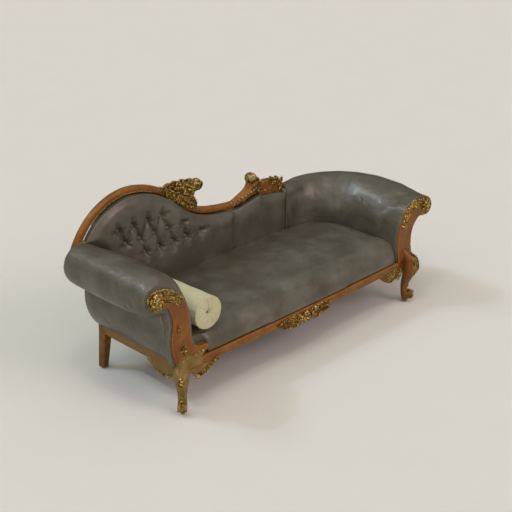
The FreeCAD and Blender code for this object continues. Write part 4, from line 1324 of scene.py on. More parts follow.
@dataclass(frozen=True)
class ArmEnd:
    """Front end of a stuffed arm: drawn forward round its facing board and rolled in to the board's edge."""

    outline: tuple
    facing: tuple
    y: float
    margin: float
    forward: float = 0.030
    depth: float = 0.034
    lip: float = 0.090
    lip_reach: float = 0.018
    rim_reach: float = 0.010

    def shape(self, points: np.ndarray) -> np.ndarray:
        """Shape the vertices near the front end.

        Args:
            points: The arm's vertices.

        Returns:
            The shaped vertices.
        """
        shaped = points.copy()
        reach = self.depth + self.forward
        for vertex in np.flatnonzero(points[:, 1] < self.y + self.lip):
            place = points[vertex]
            flat = place[[0, 2]]
            _, from_rim, in_rim = self.nearest(self.outline, flat)
            aim, from_board, in_board = self.nearest(self.facing, flat)
            from_rim = from_rim if in_rim else 0.0
            behind = max(0.0, place[1] - self.y)
            if in_board or from_board < self.margin:
                reached = max(0.0, 1.0 - behind / self.lip)
                near = min(max(2.0 - from_board / self.lip_reach, 0.0), 1.0)
                near *= math.exp(-((from_rim / self.rim_reach) ** 2))
                weight = reached * reached * (3 - 2 * reached) * near
                away = self.margin + (from_board if in_board else -from_board)
                outward = (aim - flat) * (1.0 if in_board else -1.0) / max(from_board, TINY)
                flat = flat + outward * away * weight
            if behind >= self.depth:
                shaped[vertex] = (flat[0], place[1], flat[1])
                continue
            to_board = 0.0 if in_board else max(0.0, from_board - self.margin)
            width = to_board + (0.0 if in_board else from_rim)
            gone = self.depth - behind + (0.0 if in_board else from_rim)
            share = min(1.0, gone / (self.depth + width))
            turn = share * math.pi / 2
            if to_board > 0.0:
                inward = min(max(0.0, width * (1 - math.cos(turn)) - from_rim), to_board)
                flat = flat + (aim - flat) / from_board * inward
            shaped[vertex] = (flat[0], self.y - self.forward + reach * (1 - math.sin(turn)), flat[1])
        return shaped

    def nearest(self, outline: tuple, flat: np.ndarray) -> tuple[np.ndarray, float, bool]:
        """Find the nearest point of a closed outline.

        Args:
            outline: The outline's corners.
            flat: The point, in the outline's plane.

        Returns:
            The nearest point, how far it is, and whether the point lies inside.
        """
        ring = np.array(outline)
        after = np.roll(ring, -1, axis=0)
        ahead = after - ring
        span = np.maximum((ahead**2).sum(1), 1e-12)
        along = np.clip(((flat - ring) * ahead).sum(1) / span, 0.0, 1.0)
        feet = ring + along[:, None] * ahead
        gaps = np.linalg.norm(flat - feet, axis=1)
        near = int(np.argmin(gaps))
        crosses = (ring[:, 1] > flat[1]) != (after[:, 1] > flat[1])
        rise = np.where(crosses, after[:, 1] - ring[:, 1], 1.0)
        at = ring[:, 0] + (flat[1] - ring[:, 1]) / rise * ahead[:, 0]
        return feet[near], float(gaps[near]), bool(np.count_nonzero(crosses & (at > flat[0])) % 2)


@dataclass
class Upholstery:
    """The fixed leather upholstery."""

    frame: dict
    finishes: Finishes
    roll: Point2 = (-1.015, 0.685)
    seat_edge: float = 0.300
    arm_foot: float = 0.285
    arm_front: float = -0.292
    wing_arm: float = 0.70
    wing_centre: Point2 = (0.60, 0.03)
    wing_radius: float = 0.27
    head_margin: float = 0.016
    wing_margin: float = 0.007
    piping_radius: float = 0.0028
    rail_piping_radius: float = 0.0030

    def build(self) -> None:
        """Make every leather piece."""
        for stuffing in (
            Stuffing("seat_pad", "Seat", self._seat_held, self._seat_shape, voxel=0.012, cap=0.010),
            Stuffing(
                "left_arm_pad", "Head arm", self._arm_held, self._arm_shape, voxel=0.008, cap=0.009, growth=0.008
            ),
            Stuffing(
                "foot_wing_pad", "Foot wing", self._wing_held, self._wing_shape, voxel=0.010, smooth=10, cap=0.010,
                growth=0.01,
            ),
        ):
            stuffing.build(self.frame, self.finishes.leather)
        Tufting().build(self.frame, self.finishes)
        self._plain_back()
        self._cover("left_outer_arm_cover", "Head arm outer cover", 0.008)
        self._cover("foot_outer_cover", "Foot wing outer cover", 0.006)
        self._cover("outer_back_cover", "Outer back cover", 0.008)
        self._piping()
        self._fill_corners()

    def _seat_held(self, points: np.ndarray) -> np.ndarray:
        """Mark the seat's vertices that are tacked to the rails."""
        return points[:, 2] < self.seat_edge

    def _seat_shape(self, points: np.ndarray) -> np.ndarray:
        """Press the seat in under the bolster.

        Args:
            points: The seat's vertices.

        Returns:
            The pressed vertices.
        """
        bolster_x, reach, top, sink = -0.69, 0.07, 0.38, 0.008
        shaped = points.copy()
        under = np.exp(-(((points[:, 0] - bolster_x) / reach) ** 2)) * (points[:, 2] > top)
        shaped[:, 2] -= under * sink
        return shaped

    def _arm_held(self, points: np.ndarray) -> np.ndarray:
        """Mark the head arm's vertices that are tacked to the frame."""
        return (points[:, 2] < self.arm_foot) | (points[:, 1] < self.arm_front)

    def _fuller(self, points: np.ndarray) -> np.ndarray:
        """Swell the head arm's roll towards the seat, less towards the back.

        Args:
            points: The arm's vertices.

        Returns:
            The swollen vertices.
        """
        away = points[:, (0, 2)] - np.array(self.roll)
        reach = np.maximum(np.linalg.norm(away, axis=1), TINY)
        turn = np.degrees(np.arctan2(away[:, 1], away[:, 0]))
        facing = np.clip(1.0 - np.abs(turn - 40.0) / 85.0, 0.0, 1.0)
        forward = np.interp(points[:, 1], (-0.30, -0.10, 0.0, 0.10, 0.22), (0.020, 0.020, 0.018, 0.012, 0.0))
        push = facing**2 * (3 - 2 * facing) * forward * (reach > 0.06)
        fuller = points.copy()
        fuller[:, 0] += away[:, 0] / reach * push
        fuller[:, 2] += away[:, 1] / reach * push
        return fuller

    def _arm_end(self, head: bool) -> ArmEnd:
        """Measure the front end of an arm.

        Args:
            head: Whether it is the head arm, and not the foot wing.

        Returns:
            The end, with the outlines of the arm and of its facing board.
        """
        node, board = ("left_arm_pad", "left_arm_facing") if head else ("foot_wing_pad", "right_arm_facing")
        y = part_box(node)[0].y
        ring = np.array([p[:] for p in cap_outline(self.frame, node, y)])
        if head:
            ring = self._fuller(ring)
        facing = cap_outline(self.frame, board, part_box(board)[0].y)
        margin = self.head_margin if head else self.wing_margin
        return ArmEnd(tuple((x, z) for x, _, z in ring), tuple((p.x, p.z) for p in facing), y, margin)

    def _arm_shape(self, points: np.ndarray) -> np.ndarray:
        """Swell the head arm and roll its front end in."""
        return self._arm_end(True).shape(self._fuller(points))

    def _wing_held(self, points: np.ndarray) -> np.ndarray:
        """Mark the foot wing's vertices that are tacked to the frame."""
        at_front = (points[:, 1] < self.arm_front) & (points[:, 0] > self.wing_arm)
        return (points[:, 2] < self.arm_foot) | at_front

    def _wing_shape(self, points: np.ndarray) -> np.ndarray:
        """Crease the wing where it turns, and roll its front end in.

        Args:
            points: The wing's vertices.

        Returns:
            The shaped vertices.
        """
        crease_at, crease_width, crease_depth = -0.17, 0.010, 0.003
        shaped = points.copy()
        away_x, away_y = points[:, 0] - self.wing_centre[0], points[:, 1] - self.wing_centre[1]
        angle = np.arctan2(away_y, away_x)
        inner = np.hypot(away_x, away_y) < self.wing_radius
        band = (points[:, 2] > 0.42) & (points[:, 2] < 0.60)
        push = np.exp(-(((angle - crease_at) * 0.3 / crease_width) ** 2)) * band * inner * crease_depth
        shaped[:, 0] += np.cos(angle) * push
        shaped[:, 1] += np.sin(angle) * push
        arm = points[:, 0] > self.wing_arm
        shaped[arm] = self._arm_end(False).shape(shaped[arm])
        return shaped

    def _plain_back(self) -> None:
        """Make the plain part of the back, padded towards its middle."""
        grid, swell, edge = 0.010, 0.020, 0.03
        piece = gridded(self.frame, "plain_back_pad", "Plain back", grid)
        points = points_of(piece)
        on_face = points[:, 1] < points[:, 1].min() + ON_FACE
        away = rim_distance(piece, on_face)
        points[:, 1] -= on_face * swell * (1.0 - np.exp(-((away / edge) ** 1.3)))
        move_points(piece, points)
        subdivide(piece)
        shade(piece, PANEL_SHADE)
        finish_piece(piece, self.finishes.leather, replaces=["plain_back_pad"])

    def _cover(self, node: str, name: str, swell: float) -> None:
        """Make an outer cover that swells a little between its edges.

        Args:
            node: The solid it stands for.
            name: The piece's name.
            swell: How far its middle stands out.
        """
        grid, edge = 0.02, 0.05
        piece = gridded(self.frame, node, name, grid)
        points, normals = points_of(piece), points_of(piece, "normal")
        if node == "outer_back_cover":
            outward = normals[:, 1] > 0.7
        else:
            outward = np.einsum("ij,ij->i", normals, points - points.mean(0)) > 0
        away = rim_distance(piece, outward)
        push = outward * swell * (1.0 - np.exp(-((away / edge) ** 1.3)))
        move_points(piece, points + normals * push[:, None])
        shade(piece, 40.0)
        finish_piece(piece, self.finishes.leather, replaces=[node])

    def _piping(self) -> None:
        """Lay piping round each facing board and along the side rail."""
        beside, ahead = 0.004, 0.002
        cords = []
        for head in (True, False):
            end = self._arm_end(head)
            ring = [
                Vector((x, 0.0, z)) for x, z in end.facing
                if z > self.arm_foot and end.nearest(end.outline, np.array((x, z)))[2]
            ]
            line = self._from_widest_gap(ring)
            middle = sum(line, Vector()) / len(line)
            front = Vector((0, end.y - end.forward + ahead, 0))
            marks = [p + (p - middle).normalized() * beside + front for p in line]
            cords.append(tube("piping", marks, self.piping_radius))
        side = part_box("left_side_rail")
        rail_line = [Vector((side[0].x - 0.001, y, side[1].z + 0.003)) for y in np.linspace(-0.30, 0.32, 24)]
        cords.append(tube("rail piping", rail_line, self.rail_piping_radius))
        # The piping's lighter finish is partly a painted highlight.
        finish_piece(join(cords, "Piping"), self.finishes.piping)

    def _fill_corners(self) -> None:
        """Tuck leather into the corner behind the head arm, and close the plain back's edge with a seam."""
        marks = [Vector((x, 0.290, z)) for x, z in ((-1.012, 0.766), (-0.970, 0.772), (-0.915, 0.746))]
        tuck = tube("Back tuck", smooth_line(marks, 12), 0.022)
        finish_piece(tuck, self.finishes.leather)
        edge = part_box("plain_back_pad")[1].x
        seam = tube("Back seam", [Vector((edge, 0.262, z)) for z in np.linspace(0.30, 0.668, 16)], 0.0055)
        finish_piece(seam, self.finishes.button)

    def _from_widest_gap(self, line: list[Vector]) -> list[Vector]:
        """Let an open run of points start where its ring is open.

        Args:
            line: The points, in order round the ring.

        Returns:
            The same points, starting behind the widest gap.
        """
        gaps = [(line[(k + 1) % len(line)] - line[k]).length for k in range(len(line))]
        start = int(np.argmax(gaps)) + 1
        return [line[(start + k) % len(line)] for k in range(len(line))]


@dataclass
class Bolster:
    """The loose round bolster in pale cloth, gathered at its ends."""

    frame: dict
    finishes: Finishes
    cord: float = 0.0026
    cord_inset: float = 0.004
    button: float = 0.0095
    button_inset: float = 0.014
    cloth_inset: float = 0.002
    creases: tuple = (
        (0.25, 0.07, 0.0030), (0.95, 0.05, 0.0045), (1.55, 0.06, 0.0055), (2.30, 0.08, 0.0030), (3.05, 0.06, 0.0040),
        (3.70, 0.07, 0.0050), (4.30, 0.05, 0.0035), (4.95, 0.06, 0.0050), (5.60, 0.08, 0.0030),
    )
    rings: tuple = (0.97, 0.90, 0.80, 0.68, 0.56, 0.44, 0.32, 0.20, 0.09)

    def __post_init__(self) -> None:
        """Read the bolster's size and place from the frame."""
        self.low, self.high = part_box("bolster_case")
        self.radius = (self.high.z - self.low.z) / 2
        self.length = self.high.y - self.low.y
        self.middle = (self.low.y + self.high.y) / 2
        self.axis = Vector(((self.low.x + self.high.x) / 2, 0, (self.low.z + self.high.z) / 2))

    def build(self) -> None:
        """Make the case, its stuffing, its cords and its buttons."""
        cloth = self.finishes.cloth
        finish_piece(self._case(), cloth, Body.BOLSTER, ["bolster_case"])
        self._filling()
        cords, buttons = [], []
        for end, way in ((self.low.y, -1.0), (self.high.y, 1.0)):
            cords.append(tube("bolster cord", self._ring(end, way), self.cord, closed=True))
            place = Vector((self.axis.x, end - way * self.button_inset, self.axis.z))
            buttons.append(knob(place, self.button, 0.5, 12))
        finish_piece(join(cords, "Bolster cords"), cloth, Body.BOLSTER)
        button = join(buttons, "Bolster end buttons")
        shade(button, 60.0)
        finish_piece(button, self.finishes.button, Body.BOLSTER, ["bolster_buttons"])

    def _ring(self, end: float, way: float) -> list[Vector]:
        """Run a line round one end.

        Args:
            end: Where the end lies along y.
            way: The end's direction, -1 or 1.

        Returns:
            The points of the closed line.
        """
        radius = self.radius - self.cord_inset
        return [
            Vector((
                self.axis.x + radius * math.cos(a),
                end - way * self.cord_inset,
                self.axis.z + radius * math.sin(a) * self._slack(end) - self._sag(end),
            ))
            for a in np.linspace(0, 2 * math.pi, 64, endpoint=False)
        ]

    def _filling(self) -> None:
        """Make the stuffing, a little smaller than the solid so that it stays inside the case."""
        core = copy_node(self.frame, "bolster_core", "Bolster stuffing")
        points = points_of(core)
        middle = np.array((self.axis.x, self.middle, self.axis.z))
        points = middle + (points - middle) * (0.94, 0.90, 0.94)
        points[:, 2] = self._settled(points)
        move_points(core, points)
        shade(core, 40.0)
        finish_piece(core, self.finishes.filling, Body.BOLSTER, ["bolster_core"])

    def _slack(self, y: np.ndarray | float) -> np.ndarray | float:
        """Share of the height that is left, less towards the back where the case is slack."""
        return np.interp(y, (self.low.y, 0.0, 0.12, self.high.y), (1.0, 0.95, 0.88, 0.80))

    def _sag(self, y: np.ndarray | float) -> np.ndarray | float:
        """Drop of the axis that keeps the slack case on the seat."""
        return self.radius * (1.0 - self._slack(y))

    def _settled(self, points: np.ndarray) -> np.ndarray:
        """Heights of points on the bolster once it lies slack on the seat."""
        rise = points[:, 2] - self.axis.z
        return self.axis.z + rise * self._slack(points[:, 1]) - self._sag(points[:, 1])

    def _case(self) -> Piece:
        """Make the case, with pleated ends and a gathered, dented side.

        Returns:
            The case.
        """
        case = self._shell()
        points = points_of(case)
        out = points[:, (0, 2)] - np.array((self.axis.x, self.axis.z))
        reach = np.linalg.norm(out, axis=1)
        turn = np.arctan2(out[:, 1], out[:, 0])
        share = reach / self.radius
        along = points[:, 1] - self.middle
        at_end = (np.abs(np.abs(along) - self.length / 2) < 1e-4) & (share < 0.99)
        points[:, 1] += at_end * np.sign(along) * self._pleats(share, turn)
        from_end = self.length / 2 - np.abs(points[:, 1] - self.middle)
        gather = np.cos(turn * 20 + np.sin(turn * 3) * 1.6) * 0.0012 * np.exp(-from_end / 0.03)
        dent = 0.0018 * np.sin(turn * 5 + points[:, 1] * 17) * np.sin(points[:, 1] * 29 + turn * 2)
        round_off = -0.006 * np.exp(-((from_end / 0.012) ** 2))
        grow = 1.0 + (~at_end) * (gather + dent - 0.0018 + round_off) / np.maximum(reach, TINY)
        points[:, 0] = self.axis.x + out[:, 0] * grow
        points[:, 2] = self.axis.z + out[:, 1] * grow
        points[:, 2] = np.maximum(self._settled(points), self.low.z)
        move_points(case, points)
        subdivide(case)
        shade(case, PANEL_SHADE)
        return case

    def _shell(self) -> Piece:
        """Make a plain cylinder with rings of faces over its side and its ends.

        Returns:
            The cylinder.
        """
        radius = self.radius - self.cloth_inset
        bpy.ops.mesh.primitive_cylinder_add(
            vertices=120, radius=radius, depth=self.length, end_fill_type="NOTHING",
            location=(self.axis.x, self.middle, self.axis.z), rotation=(math.pi / 2, 0, 0),
        )
        case = bpy.context.object
        case.name = "Bolster cover"
        bpy.ops.object.transform_apply(location=True, rotation=True, scale=True)
        mesh = bmesh.new()
        mesh.from_mesh(case.data)
        along = [e for e in mesh.edges if abs(e.verts[0].co.y - e.verts[1].co.y) > self.length * 0.5]
        bmesh.ops.subdivide_edges(mesh, edges=along, cuts=50, use_grid_fill=False)
        for place in (self.low.y, self.high.y):
            inner = [e for e in mesh.edges if all(abs(v.co.y - place) < 1e-5 for v in e.verts)]
            for share in self.rings:
                made = bmesh.ops.extrude_edge_only(mesh, edges=inner)["geom"]
                for vertex in (g for g in made if isinstance(g, bmesh.types.BMVert)):
                    out = Vector((vertex.co.x - self.axis.x, 0, vertex.co.z - self.axis.z)).normalized()
                    vertex.co.x = self.axis.x + out.x * radius * share
                    vertex.co.z = self.axis.z + out.z * radius * share
                inner = [g for g in made if isinstance(g, bmesh.types.BMEdge)]
            bmesh.ops.contextual_create(mesh, geom=inner)
        bmesh.ops.recalc_face_normals(mesh, faces=mesh.faces[:])
        mesh.to_mesh(case.data)
        mesh.free()
        return case

    def _pleats(self, share: np.ndarray, turn: np.ndarray) -> np.ndarray:
        """Work out how far an end stands out: domed, drawn in at its button, with pleats and creases.

        Args:
            share: Share of the radius of each vertex.
            turn: Angle of each vertex round the axis.

        Returns:
            Distances along the axis in metres.
        """
        folds = np.cos(turn * 26 + np.sin(turn * 3) * 2.6) * (0.0010 * np.sin(np.pi * np.clip(share, 0, 1)) ** 0.6)
        for at, wide, deep in self.creases:
            apart = np.angle(np.exp(1j * (turn - at - 0.25 * share)))
            ends = np.clip(share / 0.25, 0, 1) * np.clip((0.97 - share) / 0.2, 0, 1)
            folds -= deep * np.exp(-((apart / wide) ** 2)) * ends
        drawn = 0.030 * np.exp(-((share / 0.10) ** 2)) + 0.006 * np.exp(-((share / 0.3) ** 2))
        return 0.006 * (1.0 - share**2) - drawn + folds


# Carving


@dataclass
class Ground:
    """A plane in front of the wood; carving laid on it falls back onto the wood."""

    origin: Sequence[float]
    right: Sequence[float]
    up: Sequence[float] = (0, 0, 1)
    target: BVHTree | None = None
    depth: float = 0.05
    wrap: bool = False
    lean: float = 1.5

    def __post_init__(self) -> None:
        """Work out the plane's directions."""
        self.origin = Vector(self.origin)
        self.right = Vector(self.right).normalized()
        self.up = Vector(self.up).normalized()
        self.out = self.right.cross(self.up).normalized()

    def lay(self, u: float, v: float, height: float) -> Vector:
        """Place a point of carving.

        Args:
            u: Distance to the right.
            v: Distance up.
            height: Height above the wood.

        Returns:
            The point in metres.
        """
        flat = self.origin + self.right * u + self.up * v
        if self.target is not None:
            hit, normal, _, _ = self.target.ray_cast(flat + self.out * self.depth, -self.out, self.depth * 2)
            if hit is not None:
                return hit + (normal + self.out * self.lean).normalized() * height
            if self.wrap:
                near, normal, _, _ = self.target.find_nearest(flat)
                return near + normal * height
        return flat + self.out * height


def facing(y: float, target: BVHTree | None = None, depth: float = 0.05, back: bool = False, x: float = 0.0) -> Ground:
    """Make an upright ground that faces forwards or back.

    Args:
        y: Where it stands.
        target: The wood, or nothing for carving that stands free.
        depth: How far from the plane the wood may lie.
        back: Whether it faces back.
        x: Where its middle is.

    Returns:
        The ground.
    """
    return Ground((x, y, 0), (-1 if back else 1, 0, 0), target=target, depth=depth)


def polar(centre: Point2, radius: float, angle: float) -> Point2:
    """Find a point round a centre.

    Args:
        centre: The centre.
        radius: Distance from it.
        angle: Direction in radians.

    Returns:
        The point.
    """
    return centre[0] + radius * math.cos(angle), centre[1] + radius * math.sin(angle)


@dataclass(frozen=True)
class Leaf:
    """A carved leaf from root to tip on a ground."""

    root: Point2
    tip: Point2
    width: float
    bend: float = 0.0
    lobes: int = 4
    rise: float = 0.006
    curl: float = 0.006
    base: float = 0.001

    def build(self, ground: Ground) -> Piece:
        """Make the leaf.

        Args:
            ground: What it lies on.

        Returns:
            A thin mesh.
        """
        bpy.ops.mesh.primitive_grid_add(x_subdivisions=4 + 4 * self.lobes, y_subdivisions=6, size=2.0)
        piece = bpy.context.object
        grid = points_of(piece)
        share = (grid[:, 0] + 1.0) / 2.0
        side = grid[:, 1]
        root = np.array(self.root)
        run = np.array(self.tip) - root
        length = float(np.linalg.norm(run))
        cross = np.array((-run[1], run[0])) / length
        bow = self.bend * length
        spine = root + share[:, None] * run + (4 * share * (1 - share) * bow)[:, None] * cross
        heading = run + (4 * (1 - 2 * share) * bow)[:, None] * cross
        heading = heading / np.linalg.norm(heading, axis=1)[:, None]
        across_way = np.stack((-heading[:, 1], heading[:, 0]), axis=1)
        envelope = np.sin(np.pi * np.clip(share, 0.0, 1.0) ** 0.75) ** 0.8 * 0.92 + 0.08 * (1 - share)
        wave = np.abs(np.sin(np.pi * (self.lobes * share + 0.12)))
        half = self.width / 2 * envelope * (0.62 + 0.38 * wave**0.7)
        slant = 0.10 * length * np.abs(side) ** 1.3 * envelope
        flat = spine + across_way * (side * half)[:, None] + heading * slant[:, None]
        dome = 1.0 - side**2
        ribs = np.cos(2 * np.pi * self.lobes * (share - 0.10 * np.abs(side)) + 0.8) * np.abs(side) * 0.35
        vein = -0.45 * np.exp(-((side / 0.16) ** 2))
        height = self.base + self.rise * (0.35 + 0.65 * dome + ribs + vein) * (0.35 + 0.65 * envelope)
        height = height + self.curl * share**3
        placed = [ground.lay(u, v, h) for (u, v), h in zip(flat, height)]
        move_points(piece, np.array(placed))
        return piece


@dataclass(frozen=True)
class Shell:
    """A fan of fluted ribs."""

    centre: Point2
    radius: float
    turn: float
    spread: float = 150.0
    ribs: int = 9
    rise: float = 0.010
    base: float = 0.002

    def build(self, ground: Ground) -> Piece:
        """Make the shell.

        Args:
            ground: What it lies on.

        Returns:
            A thin mesh.
        """
        bpy.ops.mesh.primitive_grid_add(x_subdivisions=self.ribs * 6, y_subdivisions=10, size=2.0)
        piece = bpy.context.object
        grid = points_of(piece)
        angle = grid[:, 0]
        reach = (grid[:, 1] + 1.0) / 2.0
        flute = np.abs(np.cos(angle * math.pi * self.ribs / 2))
        radius = self.radius * (0.12 + 0.88 * reach) * (0.92 + 0.08 * flute * reach)
        turn = math.radians(self.turn) + angle * math.radians(self.spread / 2)
        height = self.base + self.rise * (np.sin(np.pi * (0.12 + 0.76 * reach)) * (0.55 + 0.45 * flute))
        placed = [ground.lay(*polar(self.centre, r, a), h) for r, a, h in zip(radius, turn, height)]
        move_points(piece, np.array(placed))
        return piece


@dataclass(frozen=True)
class Volute:
    """A spiral scroll that swells from its stem and ends in an eye."""

    centre: Point2
    radius: float
    start: float
    turns: float = 1.6
    thick: float = 0.007
    way: float = 1.0
    height: float = 0.006
    count: int = 44

    def build(self, ground: Ground) -> Piece:
        """Make the scroll.

        Args:
            ground: What it lies on.

        Returns:
            A mesh.
        """
        line = []
        taper = []
        for number in range(self.count):
            share = number / (self.count - 1)
            radius = self.radius * (1.0 - 0.86 * share)
            angle = math.radians(self.start) + self.way * 2 * math.pi * self.turns * share
            line.append(ground.lay(*polar(self.centre, radius, angle), self.height + 0.5 * self.height * share))
            taper.append(0.55 + 0.45 * math.sin(math.pi * min(1.0, 0.15 + share)))
        return tube("scroll", line, self.thick, taper, sides=3)


@dataclass(frozen=True)
class Beads:
    """A row of round beads."""

    marks: tuple
    count: int
    radius: float
    height: float = 0.003
    shrink: float = 0.35

    def build(self, ground: Ground) -> Piece:
        """Make the beads.

        Args:
            ground: What they lie on.

        Returns:
            One mesh of all the beads.
        """
        line = smooth_line([Vector((*m, 0.0)) for m in self.marks], max(self.count, 2))[: self.count]
        beads = []
        for number, mark in enumerate(line):
            radius = self.radius * (1.0 - self.shrink * number / max(self.count - 1, 1))
            place = ground.lay(mark.x, mark.y, self.height)
            if beads:
                bead = twin(beads[0])
            else:
                bpy.ops.mesh.primitive_uv_sphere_add(segments=12, ring_count=8, radius=1.0)
                bead = bpy.context.object
            bead.scale = (radius, radius, radius)
            bead.location = place
            beads.append(bead)
        deselect_all()
        for bead in beads:
            bead.select_set(True)
        bpy.context.view_layer.objects.active = beads[0]
        bpy.ops.object.transform_apply(location=True, rotation=True, scale=True)
        return join(beads, "beads")


def boss(at: Point2, radius: float, height: float) -> Beads:
    """Make one round bead.

    Args:
        at: Its middle.
        radius: Its radius.
        height: Height of its middle above the wood.

    Returns:
        The bead.
    """
    return Beads((at, at), 1, radius, height, 0.0)


def sprig(
    root: Point2, reach: float, angles: Sequence[float], width: float, rise: float = 0.006, lobes: int = 4,
    curl: float = 0.006,
) -> list[Leaf]:
    """Spread leaves from one root.

    Args:
        root: Where they start.
        reach: Length of the middle leaf.
        angles: Their directions in degrees.
        width: Their width.
        rise: Height of their middles.
        lobes: Lobes of each leaf.
        curl: How far the tips stand off.

    Returns:
        The leaves, the middle one longest and on top.
    """
    middle = sum(angles) / len(angles)
    span = max(abs(t - middle) for t in angles)
    leaves = []
    for number, turn in enumerate(angles):
        aside = abs(turn - middle) / span
        short = 1.0 - 0.35 * abs(turn - middle) / span
        tip = polar(root, reach * short, math.radians(turn))
        bend = 0.10 * (1 if turn < middle else -1) * aside
        base = 0.001 + 0.002 * (number % 3) + 0.002 * short
        leaves.append(Leaf(root, tip, width * short, bend, lobes, rise, curl, base))
    return leaves


@dataclass
class Carving:
    """Gilded carving laid over the show wood."""

    finishes: Finishes

    def tree_of(self, *pieces: Piece) -> BVHTree:
        """Build a search tree over pieces.

        Args:
            *pieces: The pieces, at the origin.

        Returns:
            The tree.
        """
        points: list = []
        faces: list = []
        for piece in pieces:
            start = len(points)
            points.extend(v.co.copy() for v in piece.data.vertices)
            faces.extend([start + k for k in face.vertices] for face in piece.data.polygons)
        return BVHTree.FromPolygons(points, faces)

    def carve(
        self, name: str, parts: Sequence[tuple[Ground, Sequence]], replaces: Sequence[str] = (), thick: float = 0.004,
        material: Material | None = None,
    ) -> None:
        """Carve a group of leaves, shells, scrolls and beads as one piece.

        Args:
            name: The piece's name.
            parts: Grounds and what is laid on each.
            replaces: Solids the piece stands for.
            thick: Thickness of the leaves.
            material: Its finish, or nothing for bright gilding.
        """
        LOG.info("carving %s", name)
        thin = []
        solid = []
        for ground, items in parts:
            for item in items:
                made = item.build(ground)
                (thin if isinstance(item, (Leaf, Shell)) else solid).append(made)
        done = []
        if thin:
            leaves = join(thin, name)
            body = leaves.modifiers.new("Body", "SOLIDIFY")
            body.thickness = thick
            body.offset = -1.0
            apply_modifier(leaves, "Body")
            subdivide(leaves)
            done.append(leaves)
        done.extend(solid)
        piece = join(done, name)
        face_outwards(piece)
        shade(piece, 55.0)
        finish_piece(piece, material or self.finishes.gilt, replaces=replaces)


